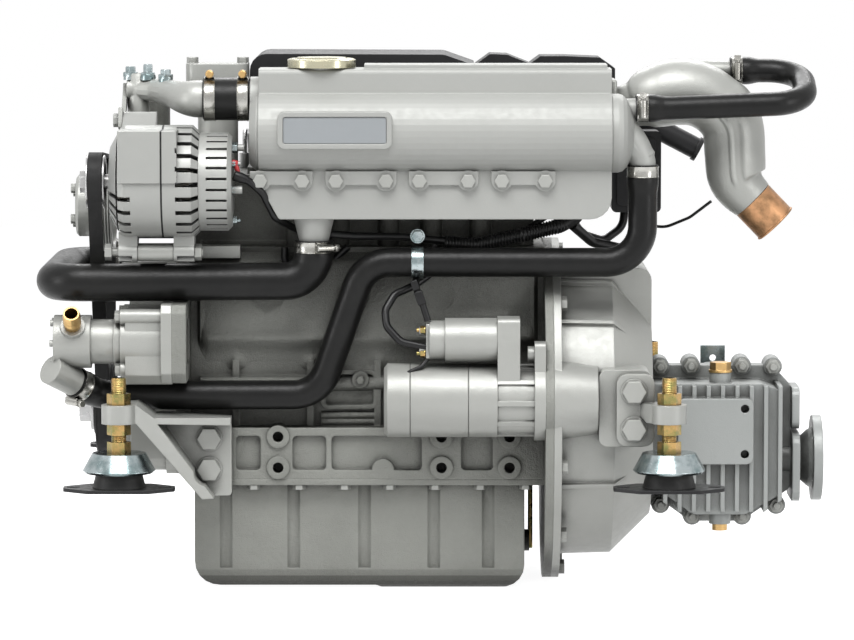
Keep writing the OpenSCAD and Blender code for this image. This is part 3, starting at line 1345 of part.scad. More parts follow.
// Bell housing: a shell over the flywheel with ribs, the starter bulge and the mount pads
bell_flange_t = 9;
bell_wall = 7;
bell_crease_share = 0.60;
bell_rear_r = 128;
bell_rib_t = 5;
bell_rib_h = 5;
bell_face_t = 12;
pad_y = 192;
pad_shares = [0.44, 0.95];
pad_low = 26;
pad_high = 64;
mount_pad_round = 10;
rear_stud_back = 14;
rear_arm = 40;
rear_bolt_rise = [-4, 40];
rear_stud_x = bell_rear_x + rear_stud_back;
rear_bolt_x = rear_stud_x - rear_arm;
rear_bolt_zs = [for (rise = rear_bolt_rise) crank_z + rise];
bell_draft = 2;
flywheel_r = 151;
flywheel_t = 24;
bell_rib_angles = [-72, -50, -28, -9, 9, 28, 50, 72, 115, 245];
hump_half_w = 74;
hump_drop = 3;
hump_corner = 14;
module bell_housing() {
  crease = bell_crease_share * bell_len;
  inner = bell_r - bell_wall;
  color(light_grey) difference() {
    union() {
      slab_x(bell_front_x, bell_front_x + bell_flange_t) bell_outline(bell_flange_r);
      turn_x(bell_front_x, 0, crank_z) polygon([[0, 0], [bell_r, 0], [bell_r - bell_draft, crease],
        [bell_rear_r, bell_len], [0, bell_len]]);
      for (a = bell_rib_angles) translate([bell_front_x, 0, crank_z]) rotate([a, 0, 0])
        slab_y(-bell_rib_t / 2, bell_rib_t / 2) polygon([[0, inner], [0, bell_r + bell_rib_h],
          [crease, bell_r + bell_rib_h - bell_draft], [bell_len - bell_face_t, bell_rear_r + bell_rib_h],
          [bell_len - bell_face_t, bell_rear_r - bell_wall - bell_draft]]);
      slab_y(-hump_half_w, hump_half_w) polygon(rounded([[bell_front_x, crank_z + bell_rear_r / 2],
        [bell_front_x, crank_z + bell_r - hump_drop], [bell_rear_x, crank_z + bell_r - hump_drop],
        [bell_rear_x, crank_z + bell_rear_r / 2]], [cut, cut, hump_corner, cut]));
      both_sides() slab_y(-pad_y, -bell_rear_r) rounded_rect(
        bell_front_x + pad_shares[0] * bell_len, bell_front_x + pad_shares[1] * bell_len,
        crank_z - pad_low, crank_z + pad_high, mount_pad_round);
      translate([bell_front_x, starter_y, starter_z]) facing_back()
        cylinder(h = crease * 0.72, r1 = starter_pad_r, r2 = starter_pad_r * 0.84);
    }
    turn_x(bell_front_x, 0, crank_z) polygon([[0, -cut], [inner, -cut], [inner - bell_draft, crease],
      [bell_rear_r - bell_wall, bell_len - bell_face_t], [0, bell_len - bell_face_t]]);
    rod_x(bell_front_x - cut, bell_front_x + crease / 2, starter_y, starter_z, pinion_hole_r);
    rod_x(bell_front_x, bell_rear_x + cut, 0, crank_z, input_r + gap);
    bell_bolt_places(bell_front_x + bell_flange_t) bolt_hole(rear_bolt_r, rear_bolt_shank);
  }
}
input_r = 20;

// Gearbox: two case halves that meet in the middle, with fins, bolt lugs and a plain pad
gear_half_w = 92;
gear_rise = 52;
gear_depth = 136;
gear_shoulder = 23;
gear_top_z = crank_z + gear_rise;
gear_low_z = crank_z - gear_depth;
gear_wall_x = gear_rear_x - gear_shoulder;
gear_bolt_r = 4;
gear_bolt_af = 15;
gear_bolt_head = 8;
gear_lug_r = 11;
gear_front_x = bell_rear_x;
fin_t = 5;
fin_h = 9;
fin_gap = 17;
gear_split_deep = 14;
gear_face_y = 78;
gear_bolt_xz = [[13, 112], [50, 113], [111, 113], [148, 112], [14, -54], [52, -68], [112, -68], [153, -55]];
gear_pad = [31, 120, 3, 81];
gear_pad_y = 96;
gear_pad_hole_r = 5;
gear_pad_hole_in = 12;
gear_pad_hole_end = 10;
gear_pad_hole_deep = 20;
gear_pad_round = 8;
gear_lug_out = 6;
gear_corner = [24, 40];
gear_belly = [112, 50];
gear_sweep = 36;
gear_round = 10;
gear_belly_round = 14;
gear_wall_in = 16;
fin_in = 6;
fin_ends = [14, 18];
fin_low = 20;
fin_high = 18;
fill_boss_h = 28;
fill_boss_r = 13;
fill_boss_in = [3, 32];
input_len = 40;
gear_hole_extra = 10;
function gx(a) = gear_front_x + a;
module gear_bolt_places() {
  for (p = gear_bolt_xz) translate([gx(p[0]), -gear_split_deep - gear_lug_out, p[1]]) facing_near()
      children();
}
module gear_outline(inset) {
  polygon(rounded([[gx(0), gear_top_z - inset], [gear_wall_x - inset, gear_top_z - inset],
    [gear_rear_x - inset, gear_top_z - gear_corner[0]], [gear_rear_x - inset, gear_low_z + gear_corner[1]],
    [gx(gear_belly[0]), gear_low_z + inset], [gx(gear_belly[1]), gear_low_z + inset],
    [gx(0), gear_low_z + gear_sweep + inset]],
    [cut, gear_round, gear_round, gear_round, gear_belly_round, gear_belly_round, cut]));
}
module gear_half(with_lever) {
  color(light_grey) difference() {
    union() {
      slab_y(-gear_split_deep, 0) gear_outline(0);
      slab_y(-gear_face_y, 0) gear_outline(gear_wall_in);
      for (p = gear_bolt_xz) rod_y(gx(p[0]), -gear_split_deep - gear_lug_out, 0, p[1], gear_lug_r);
      intersection() {
        for (x = [gx(fin_ends[0]):fin_gap:gear_rear_x - fin_ends[1]])
          box(x, x + fin_t, -gear_face_y - fin_h, 0, gear_low_z + fin_low, gear_top_z - fin_high);
        slab_y(-gear_half_w, 0) gear_outline(fin_in);
      }
      slab_y(-gear_pad_y, 0)
        rounded_rect(gx(gear_pad[0]), gx(gear_pad[1]), gear_pad[2], gear_pad[3], gear_pad_round);
      for (z = [gear_low_z + fill_boss_in[0], gear_top_z - fill_boss_in[1]])
        rod_z(plug_x, plug_y(), z, z + fill_boss_h, fill_boss_r);
    }
    rod_x(gx(0) - cut, gear_rear_x + cut, 0, 0, output_r + fit);
    rod_x(gx(0) - cut, gx(input_len), 0, crank_z, input_r + fit);
    for (z = [gear_pad[2] + gear_pad_hole_in, gear_pad[3] - gear_pad_hole_in])
      rod_y(gx(gear_pad[1]) - gear_pad_hole_end, -gear_pad_y - cut, -gear_pad_y + gear_pad_hole_deep, z,
        gear_pad_hole_r);
    gear_bolt_places() bolt_hole(gear_bolt_r, gear_split_deep + gear_hole_extra);
    if (with_lever)
      rod_y(lever_x, -gear_half_w - lever_bore_out, -lever_bore_in, lever_z, lever_shaft_r + fit);
  }
}
module gearbox_near_half() { gear_half(false); }
module gearbox_far_half() { mirror([0, 1, 0]) gear_half(true); }
output_r = 20;
cover_t = 9;
low_cover = [-52, 52, -48, 34];
low_cover_r = 16;
high_cover = [-40, 40, 38, 88];
high_cover_r = 12;
module gearbox_covers() {
  color(light_grey) {
    difference() {
      slab_x(gear_rear_x, gear_rear_x + cover_t) rounded_box(low_cover, low_cover_r);
      rod_x(gear_rear_x - cut, gear_rear_x + cover_t + cut, 0, 0, output_r + fit);
    }
    slab_x(gear_rear_x, gear_rear_x + cover_t) rounded_box(high_cover, high_cover_r);
  }
}
lever_x = -124;
lever_rise = 20;
lever_off = 6;
lever_z = crank_z + lever_rise;
lever_shaft_r = 7;
lever_t = 6;
lever_len = 45;
lever_w = 15;
lever_bore_out = 20;
lever_bore_in = 40;
lever_tip_in = 2;
lever_hole_r = 4;
module shift_lever() {
  y = gear_half_w + lever_off;
  color(zinc_grey) difference() {
    union() {
      rod_y(lever_x, lever_bore_in + lever_tip_in, y + 2 * lever_t, lever_z, lever_shaft_r);
      slab_y(y, y + lever_t) union() {
        translate([lever_x, lever_z]) circle(r = lever_w);
        translate([lever_x - lever_w, lever_z]) square([2 * lever_w, lever_len]);
      }
    }
    rod_y(lever_x, y - cut, y + lever_t + cut, lever_z + lever_len - lever_w, lever_hole_r);
  }
}
pilot_r = 31.75;
pilot_deep = 3;
pilot_rim = 5;
neck_step = 6;
neck_flare = 14;
output_in = 6;
output_tip = 12;
module output_shaft() {
  color(cast_grey) difference() {
    union() {
      turn_x(-coupling_t - neck_len, 0, 0) polygon([[0, cover_t + gap], [output_r + neck_step, cover_t
          + gap],
        [output_r + neck_step, neck_len * 0.45], [output_r + neck_flare, neck_len * 0.8],
        [pilot_r + pilot_rim, neck_len],
        [coupling_d / 2, neck_len], [coupling_d / 2, neck_len + coupling_t], [0, neck_len + coupling_t]]);
      rod_x(gx(output_in), -coupling_t - neck_len + output_tip, 0, 0, output_r);
    }
    rod_x(-pilot_deep, cut, 0, 0, pilot_r);
    for (a = [45:90:315]) rod_x(-coupling_t - cut, cut, coupling_pcd / 2 * cos(a),
        coupling_pcd / 2 * sin(a),
      coupling_hole_d / 2);
  }
}

// Engine mounts: a bracket, a stud with its nuts, a cup, a rubber and a base plate at each corner
front_stud_x = case_front_x;
arm_low_z = 66;
arm_high_z = 88;
boss_outer_r = 20;
nut_af = 24;
bracket_plate_t = 14;
bracket_round = 4;
stud_clear = 0.5;
arm_rib = 4;
arm_crest = 5;
front_plate_margin = 26;
front_plate_drop = 31;
rear_plate_margin = 20;
rear_plate_round = 12;
bolt_short = 5;
washer_t = 2;
bracket_base_y = skirt_half_w + boss_proud;
front_bolt_x = boss_xs[0];
arm_shelf_t = 9;
arm_root = 24;
front_plate_x = [front_bolt_x - front_plate_margin, front_bolt_x + front_plate_margin];
front_plate_z = [boss_low_z - front_plate_drop, boss_high_z + front_plate_margin];
module front_bracket() {
  y0 = -bracket_base_y - bracket_plate_t;
  x1 = front_plate_x[1];
  top = front_plate_z[1];
  difference() {
    union() {
      slab_y(y0, -bracket_base_y) polygon(rounded([[front_stud_x + 2 * boss_outer_r, top],
        [x1, top], [x1, front_plate_z[0]], [x1 - 2 * arm_root * 0.7, front_plate_z[0]]], bracket_round));
      intersection() {
        slab_z(front_plate_z[0], arm_high_z) polygon([[front_stud_x, -stud_off - boss_outer_r * 0.8],
          [front_stud_x + boss_outer_r * 0.8, -stud_off - boss_outer_r * 0.4], [x1, y0 - 2 * arm_shelf_t],
          [x1, -bracket_base_y], [front_stud_x + 2.3 * boss_outer_r, -bracket_base_y],
          [front_stud_x - boss_outer_r * 0.7, -stud_off + boss_outer_r * 0.7]]);
        slab_y(-stud_off - boss_outer_r, -bracket_base_y) {
          polygon([[front_stud_x, arm_low_z], [front_stud_x, arm_high_z],
            [front_stud_x + boss_outer_r, arm_high_z], [front_stud_x + 2 * boss_outer_r, top + arm_crest],
            [x1, top], [x1, top - arm_shelf_t],
            [front_stud_x + boss_outer_r, arm_low_z]]);
          polygon([[front_stud_x + boss_outer_r, arm_low_z], [front_stud_x + 2 * boss_outer_r, arm_low_z
              + arm_rib],
            [x1 - arm_root + arm_shelf_t / 2, front_plate_z[0]], [x1 - arm_root - arm_shelf_t,
                front_plate_z[0]]]);
        }
      }
      rod_z(front_stud_x, -stud_off, arm_low_z, arm_high_z, boss_outer_r);
    }
    rod_z(front_stud_x, -stud_off, arm_low_z - cut, arm_high_z + cut, stud_r + stud_clear);
    for (z = [boss_low_z, boss_high_z]) {
      rod_y(front_bolt_x, y0 - cut, cut - bracket_base_y, z, bracket_bolt_r + stud_clear);
      rod_y(front_bolt_x, y0 - stud_off, y0, z, bracket_bolt_af * 0.68);
    }
  }
}
module rear_bracket() {
  y0 = -pad_y - bracket_plate_t;
  difference() {
    union() {
      slab_y(y0, -pad_y) rounded_rect(rear_bolt_x - rear_plate_margin, rear_bolt_x + arm_root,
        rear_bolt_zs[0] - rear_plate_margin, rear_bolt_zs[1] + rear_plate_margin, rear_plate_round);
      slab_z(arm_low_z, arm_high_z) polygon([[rear_bolt_x + arm_rib, y0 + arm_rib], [rear_bolt_x
          + arm_root, -pad_y],
        [rear_stud_x + boss_outer_r * 0.8, -stud_off + boss_outer_r * 0.5],
        [rear_stud_x, -stud_off - boss_outer_r], [rear_stud_x - boss_outer_r * 0.6,
            -stud_off - boss_outer_r * 0.7]]);
      rod_z(rear_stud_x, -stud_off, arm_low_z, arm_high_z, boss_outer_r);
    }
    rod_z(rear_stud_x, -stud_off, arm_low_z - cut, arm_high_z + cut, stud_r + stud_clear);
    for (z = rear_bolt_zs) {
      rod_y(rear_bolt_x, y0 - cut, cut - pad_y, z, bracket_bolt_r + stud_clear);
      rod_y(rear_bolt_x, y0 - stud_off, y0, z, bracket_bolt_af * 0.68);
    }
  }
}
module mount_brackets() {
  color(light_grey) both_sides() {
    front_bracket();
    rear_bracket();
  }
}
module bracket_bolts() {
  color(steel_grey) both_sides() {
    for (z = [boss_low_z, boss_high_z])
      translate([front_bolt_x, -bracket_base_y - bracket_plate_t, z]) facing_near()
        washer_bolt(bracket_bolt_r, bracket_bolt_af, bracket_bolt_head, bracket_plate_t
            + boss_hole_deep - bolt_short,
          washer_t);
    for (z = rear_bolt_zs)
      translate([rear_bolt_x, -pad_y - bracket_plate_t, z]) facing_near()
        washer_bolt(bracket_bolt_r, bracket_bolt_af, bracket_bolt_head, bracket_plate_t, washer_t);
  }
}
stud_top_z = 119;
cup_top_z = 32;
cup_low_z = 9;
base_z = -12;
base_t = 4;
nut_h = 13;
stud_seat = 14;
cup_roll = [3, 6, 4];
cup_top_r = 31;
cup_wall = 2.5;
module mount_places() {
  both_sides() for (x = [front_stud_x, rear_stud_x]) translate([x, -stud_off, 0]) children();
}
module mount_studs() {
  color(yellow_zinc) mount_places() {
    cylinder_between(cup_top_z - stud_seat, stud_top_z, stud_r);
    nut_at(arm_high_z);
    nut_at(arm_low_z - nut_h);
    nut_at(cup_top_z);
  }
}
module cylinder_between(z0, z1, r) { translate([0, 0, z0]) cylinder(h = z1 - z0, r = r); }
module nut_at(z) {
  difference() {
    translate([0, 0, z]) cylinder(h = nut_h, r = across(nut_af), $fn = 6);
    cylinder_between(z - cut, z + nut_h + cut, stud_r + fit);
  }
}
module mount_cups() {
  color(zinc_grey) mount_places() difference() {
    translate([0, 0, cup_low_z]) rotate_extrude() polygon([[stud_r + fit, cup_top_z - cup_low_z],
      [cup_top_r, cup_top_z - cup_low_z], [cup_r, cup_roll[0]], [cup_r - cup_roll[0], 0],
      [cup_r - cup_roll[1], 0], [cup_r - cup_roll[2], cup_roll[0]],
      [cup_top_r - cup_wall, cup_top_z - cup_low_z - cup_wall], [stud_r + fit,
          cup_top_z - cup_low_z - cup_wall]]);
  }
}
rubber_top_r = 27;
rubber_waist_r = 25;
rubber_foot_r = 31;
rubber_flare = 2;
module mount_rubbers() {
  z0 = base_z + base_t;
  color(rubber_black) mount_places() difference() {
    translate([0, 0, z0]) rotate_extrude() polygon([[0, 0], [rubber_foot_r, 0], [rubber_waist_r
        + rubber_flare, cup_low_z - z0 - rubber_flare],
      [rubber_top_r, cup_low_z - z0 + 2 * rubber_flare], [rubber_waist_r, cup_top_z - cup_wall - z0], [0,
          cup_top_z - cup_wall - z0]]);
    cylinder_between(cup_top_z - stud_seat - fit, cup_top_z, stud_r + fit);
  }
}
base_neck = 22;
base_round = 8;
module mount_bases() {
  color(plastic_black) mount_places() difference() {
    translate([0, 0, base_z]) linear_extrude(base_t) polygon(rounded([[-base_len / 2, -base_neck / 2],
      [-base_w / 2, -base_w / 2], [base_w / 2, -base_w / 2], [base_len / 2, -base_neck / 2],
      [base_len / 2, base_neck / 2], [base_w / 2, base_w / 2], [-base_w / 2, base_w / 2],
      [-base_len / 2, base_neck / 2]], base_round));
    for (s = [-1, 1]) translate([s * slot_gap / 2, 0, base_z - cut]) linear_extrude(base_t + 2 * cut)
        union() {
      for (e = [-1, 1]) translate([e * (slot_len - slot_w) / 2, 0]) circle(r = slot_w / 2);
      square([slot_len - slot_w, slot_w], center = true);
    }
  }
}

// Belt drive
belt_run = 0.3;
alt_y = -162;
alt_rise = 281;
alt_z = crank_z + alt_rise;
belt_sides = 96;
module pulley_circles(extra, sides) {
  hull() {
    translate([0, crank_z]) circle(r = crank_pulley_r + extra, $fn = sides);
    translate([pump_y, pump_z]) circle(r = pump_pulley_r + extra, $fn = sides);
    translate([alt_y, alt_z]) circle(r = alt_pulley_r + extra, $fn = sides);
  }
}
module drive_belt() {
  color(rubber_black) slab_x(belt_mid_x - belt_w / 2, belt_mid_x + belt_w / 2) difference() {
    pulley_circles(belt_run + belt_t, belt_sides);
    pulley_circles(belt_run, belt_sides);
  }
}
flange_h = 2;
flange_t = 2;
pulley_gap = 0.6;
rim_in = 6;
rim_taper = 9;
// A grooved rim between two low flanges
module pulley_profile(r, hub_r, web_t) {
  half = belt_w / 2 + pulley_gap;
  pitch = (2 * half) / belt_ribs;
  polygon(concat([[hub_r, -half - flange_t], [r + flange_h, -half - flange_t], [r + flange_h, -half]],
    [for (i = [0:belt_ribs - 1]) each [[r, -half + pitch * i + pitch * 0.1], [r, -half + pitch * (i + 0.5)],
      [r - pitch / 2, -half + pitch * (i + 0.75)]]],
    [[r, half], [r + flange_h, half], [r + flange_h, half + flange_t], [r - rim_in, half + flange_t],
    [r - rim_taper, -half - flange_t + web_t], [hub_r, -half - flange_t + web_t]]));
}
nose_t = 4;
seal_gap = 2;
crank_hub_r = 24;
crank_hub_out = 32;
crank_web_t = 12;
module crank_pulley() {
  x0 = belt_mid_x - belt_w / 2 - flange_t;
  color(plastic_black) union() {
    turn_x(belt_mid_x, 0, crank_z) pulley_profile(crank_pulley_r, crank_hub_r, crank_web_t);
    difference() {
      rod_x(x0 - nose_t, case_front_x - seal_len - seal_gap, 0, crank_z, crank_hub_out);
      rod_x(x0 - nose_t - cut, case_front_x, 0, crank_z, journal_r * 0.7);
    }
  }
}
crank_flange_t = 6;
crank_flange_r = 50;
crank_washer_r = 27;
crank_bolt_r = 10;
crank_bolt_len = 18;
crank_bolt_h = 14;
crank_bolt_af = 30;
module crankshaft() {
  x0 = belt_mid_x - belt_w / 2 - flange_t - nose_t;
  color(steel_grey) union() {
    rod_x(case_front_x - seal_len - seal_gap, bell_front_x + crank_flange_t, 0, crank_z, journal_r);
    rod_x(x0, case_front_x, 0, crank_z, journal_r * 0.7 - fit);
    rod_x(x0 - nose_t, x0, 0, crank_z, crank_washer_r);
    rod_x(x0 - crank_bolt_len, x0 - nose_t, 0, crank_z, crank_bolt_r);
    translate([x0 - nose_t, 0, crank_z]) facing_front()
      cylinder(h = crank_bolt_h, r = across(crank_bolt_af), $fn = 6);
    rod_x(bell_front_x + crank_flange_t, bell_front_x + 2 * crank_flange_t, 0, crank_z, crank_flange_r);
  }
}
ring_teeth = 60;
tooth_h = 6;
tooth_t = 5;
clutch_t = 12;
clutch_r = 70;
input_tip = 34;
module flywheel() {
  x0 = bell_front_x + 2 * crank_flange_t;
  x1 = x0 + flywheel_t;
  color(cast_grey) union() {
    rod_x(x0, x1, 0, crank_z, flywheel_r - tooth_h);
    for (i = [0:ring_teeth - 1]) translate([x0, 0, crank_z]) rotate([360 * i / ring_teeth, 0, 0])
      translate([0, -tooth_t / 2, flywheel_r - 1.5 * tooth_h])
      cube([flywheel_t / 2, tooth_t, 1.5 * tooth_h]);
    rod_x(x1, x1 + clutch_t, 0, crank_z, clutch_r);
    rod_x(x1 + clutch_t, gx(input_tip), 0, crank_z, input_r - fit * 4);
  }
}
hub_r = 37;
hub_len = 24;
hub_bolts = 4;
hub_edge = 3;
hub_foot = 4;
hub_bolt_ring = 26;
hub_bolt = [3, 10, 6, 1];
pump_web_t = 5;
pump_shaft_len = 50;
module pump_pulley() {
  x0 = belt_mid_x - belt_w / 2 - flange_t;
  color(light_grey) union() {
    turn_x(belt_mid_x, pump_y, pump_z) pulley_profile(pump_pulley_r, 0, pump_web_t);
    turn_x(x0 - hub_len, pump_y, pump_z) polygon([[0, 0], [hub_r - hub_edge, 0], [hub_r, hub_edge],
      [hub_r, hub_len - hub_foot], [hub_r + hub_edge, hub_len], [0, hub_len]]);
    for (i = [0:hub_bolts - 1]) let (a = 90 * i + 35)
      translate([x0 - hub_len, pump_y + hub_bolt_ring * cos(a), pump_z + hub_bolt_ring * sin(a)])
      facing_front() bolt(hub_bolt[0], hub_bolt[1], hub_bolt[2], hub_bolt[3]);
    rod_x(x0, pump_body_x + pump_shaft_len, pump_y, pump_z, pump_shaft_r);
  }
}

// Alternator: two slotted halves over the stator, the end cover, and the rotor with fan and pulley
alt_gap = 9;
alt_x0 = belt_mid_x + belt_w / 2 + alt_gap;
alt_split_x = alt_x0 + alt_front_len;
alt_rear_x = alt_split_x + alt_rear_len;
alt_cover_x = alt_rear_x + alt_cover_len;
alt_wall = 5;
alt_shaft_r = 8.5;

slot_t = 5.5;
foot_drop = 81;
foot_side = 15;
foot_z = alt_z - foot_drop;
foot_y = alt_y - foot_side;
foot_edge = 2;
foot_root_drop = 55;
foot_root_r = 20;
foot_front = [10, 32];
foot_rear = [30, 6];
foot_r = 11.5;
foot_hole_r = 5.5;
ear_a = 62;
ear_r = 79;
ear_y = alt_y + ear_r * cos(ear_a);
ear_z = alt_z + ear_r * sin(ear_a);
alt_corner = 12;
alt_vent_len = 26;
alt_edge = 3;
alt_face = 4;
alt_chamfer = 8;
ear_front = 13;
ear_back = 10;
ear_half = 10;
ear_root = [10, 40];
ear_root_r = 20;
ear_bolt = [4, 14];
ear_bolt_r = 4;
ear_head_x = 7.2;
ear_head_h = 6;
ear_head_af = 14;
rail_front = 12;
rail_rear = 24;
rail_out = 3;
rail_low = 2;
rail_in = 4;
module alt_foot(x0, x1) {
  rod_x(x0, x1, foot_y, foot_z, foot_r);
  hull() {
    rod_x(x0, x1, foot_y, foot_z, foot_r - foot_edge);
    rod_x(x0, x1, alt_y, alt_z - foot_root_drop, foot_root_r);
  }
}
module alt_rail(x0, x1) {
  box(x0, x1, alt_y - alt_r - rail_out, alt_y, alt_z + rail_low, alt_z + alt_r - rail_in);
}
module alt_slot_cuts(x0, x1, face_x, start, end) {
  for (i = [start:end]) translate([0, alt_y, alt_z]) rotate([360 * i / alt_slots, 0, 0])
    translate([min(x0, face_x), -slot_t / 2, alt_r * 0.52]) cube([abs(x1 - x0), slot_t, alt_r]);
}
module alternator_front() {
  x1 = alt_split_x - fit;
  color(light_grey) difference() {
    union() {
      turn_x(alt_x0, alt_y, alt_z) polygon([[0, 0], [alt_r * 0.62, 0], [alt_r - alt_edge, alt_corner],
        [alt_r, alt_corner + 2 * alt_edge], [alt_r, alt_front_len - fit], [0, alt_front_len - fit]]);
      alt_foot(alt_x0 + foot_front[0], alt_x0 + foot_front[1]);
      hull() {
        rod_x(alt_x0 + ear_front, x1 - ear_back, ear_y, ear_z, ear_half);
        rod_x(alt_x0 + ear_front, x1 - ear_back, alt_y + ear_root[0], alt_z + ear_root[1], ear_root_r);
      }
      rod_x(alt_x0 + ear_bolt[0], alt_x0 + ear_bolt[1], ear_y, ear_z, ear_bolt_r);
      translate([alt_x0 + ear_head_x, ear_y, ear_z]) facing_front()
        cylinder(h = ear_head_h, r = across(ear_head_af), $fn = 6);
      alt_rail(alt_x0 + rail_front, x1);
    }
    rod_x(alt_x0 + alt_wall + alt_face, x1 + cut, alt_y, alt_z, alt_r - alt_wall);
    rod_x(alt_x0 - cut, x1, alt_y, alt_z, alt_shaft_r + fit);
    alt_slot_cuts(alt_x0 - cut, alt_x0 + alt_vent_len, alt_x0, 7, alt_slots - 3);
    rod_x(alt_x0, x1, foot_y, foot_z, foot_hole_r + fit);
  }
}
module alternator_rear() {
  color(light_grey) difference() {
    union() {
      turn_x(alt_split_x, alt_y, alt_z) polygon([[0, 0], [alt_r, 0], [alt_r, alt_rear_len - alt_chamfer],
        [alt_r - alt_chamfer, alt_rear_len], [0, alt_rear_len]]);
      alt_foot(alt_rear_x - foot_rear[0], alt_rear_x - foot_rear[1]);
      alt_rail(alt_split_x, alt_rear_x - rail_rear);
    }
    rod_x(alt_split_x - cut, alt_rear_x - alt_wall - alt_face, alt_y, alt_z, alt_r - alt_wall);
    rod_x(alt_split_x, alt_rear_x + cut, alt_y, alt_z, alt_shaft_r + fit);
    alt_slot_cuts(alt_rear_x - alt_vent_len, alt_rear_x + cut, alt_rear_x - alt_vent_len, 0, alt_slots - 1);
    rod_x(alt_split_x, alt_rear_x, foot_y, foot_z, foot_hole_r + fit);
  }
}
cover_slots = 14;
cover_step = 9;
cover_edge = 5;
cover_slot_x = 9;
cover_slot_len = 24;
cover_slot_t = 3;
cover_studs = [[14, -8, 40, 4], [10, -20, 22, 3], [12, -24, -8, 5]];
module alternator_cover() {
  color(light_grey) union() {
    difference() {
      turn_x(alt_rear_x, alt_y, alt_z) polygon([[0, 0], [alt_r - cover_step, 0],
        [alt_r - cover_step, alt_cover_len - cover_edge],
        [alt_r - cover_step - cover_edge, alt_cover_len], [0, alt_cover_len]]);
      rod_x(alt_rear_x - cut, alt_cover_x - alt_wall, alt_y, alt_z, alt_r - cover_step - alt_wall);
      for (i = [0:cover_slots - 1]) translate([0, alt_y, alt_z])
        rotate([180 * (i - cover_slots / 2 + 0.5) / cover_slots + 90, 0, 0])
        translate([alt_rear_x + cover_slot_x, -cover_slot_t / 2, alt_r * 0.6])
        cube([cover_slot_len, cover_slot_t, alt_r]);
    }
    for (s = cover_studs) rod_x(alt_cover_x, alt_cover_x + s[0], alt_y + s[1], alt_z + s[2], s[3]);
  }
}
fan_blades = 12;
fan_x = 12;
fan_w = 12;
fan_t = 2;
fan_tip = 8;
rotor_tip = 6;
rotor_ends = [22, 20];
rotor_tip_gap = 14;
alt_nut = [6, 22, 8, 1];
module alternator_rotor() {
  px = belt_mid_x;
  color(steel_grey) union() {
    turn_x(px, alt_y, alt_z) pulley_profile(alt_pulley_r, 0, belt_w);
    rod_x(px, alt_rear_x + rotor_tip, alt_y, alt_z, alt_shaft_r);
    rod_x(alt_x0 + rotor_ends[0], alt_rear_x - rotor_ends[1], alt_y, alt_z,
        alt_r - alt_wall - rotor_tip_gap);
    for (i = [0:fan_blades - 1]) translate([alt_x0 + fan_x, alt_y, alt_z]) rotate([360 * i / fan_blades, 0,
        0])
      translate([0, -fan_t / 2, 0]) cube([fan_w, fan_t, alt_r - alt_wall - fan_tip]);
    translate([px - belt_w / 2 - flange_t - pulley_gap, alt_y, alt_z]) facing_front()
      bolt(alt_nut[0], alt_nut[1], alt_nut[2], alt_nut[3]);
  }
}
strap_off = 7.6;
strap_x = alt_x0 + strap_off;
strap_t = 5;
strap_w = 24;
strap_sweep = 12;
strap_slot = 4.5;
strap_end = [[-40, 452], [-36, 436], [-48, 426]];
arm_xs = [34, 64];
arm_trim = 1;
arm_lip = 4;
arm_reach = 60;
arm_y = -134;
foot_bolt_out = [2, 4];
foot_bolt_h = 8;
foot_bolt_af = 17;
foot_nut_in = 5.8;
module alternator_bracket() {
  reach = norm([ear_y - foot_y, ear_z - foot_z]);
  a0 = atan2(ear_z - foot_z, ear_y - foot_y);
  color(light_grey) {
    difference() {
      union() {
        rod_x(alt_x0 + foot_front[1] + gap, alt_rear_x - foot_rear[0] - gap, foot_y, foot_z,
            foot_r - arm_trim);
        box(alt_x0 + arm_xs[0], alt_x0 + arm_xs[1], foot_y, -block_half_w, foot_z - foot_r + arm_trim,
            foot_z + arm_lip);
        box(alt_x0 + arm_xs[0], block_front_x + arm_reach, arm_y, -block_half_w, foot_z - foot_r + arm_trim,
          foot_z + arm_lip);
      }
      rod_x(alt_x0, alt_rear_x, foot_y, foot_z, foot_hole_r + fit);
    }
    difference() {
      translate([strap_x, foot_y, foot_z]) rotate([90, 0, 90]) linear_extrude(strap_t) polygon(concat(
        arc([0, 0], reach + strap_w / 2, a0 + 5, a0 - strap_sweep, 10),
        [for (p = strap_end) p - [foot_y, foot_z]],
        arc([0, 0], reach - strap_w / 2, a0 - strap_sweep, a0 + 5, 10)));
      translate([strap_x - cut, foot_y, foot_z]) rotate([90, 0, 90]) linear_extrude(strap_t + 2 * cut)
          polygon(concat(
        arc([0, 0], reach + strap_slot, a0 + 2, a0 - strap_sweep + 1, 12),
        arc([0, 0], reach - strap_slot, a0 - strap_sweep + 1, a0 + 2, 12)));
    }
    union() {
      rod_x(alt_x0 + foot_bolt_out[0], alt_rear_x + foot_bolt_out[1], foot_y, foot_z, foot_hole_r);
      translate([alt_x0 + foot_bolt_out[0], foot_y, foot_z]) facing_front()
        cylinder(h = foot_bolt_h, r = across(foot_bolt_af), $fn = 6);
      translate([alt_rear_x - foot_nut_in, foot_y, foot_z]) facing_back()
        cylinder(h = foot_bolt_h, r = across(foot_bolt_af), $fn = 6);
    }
  }
}

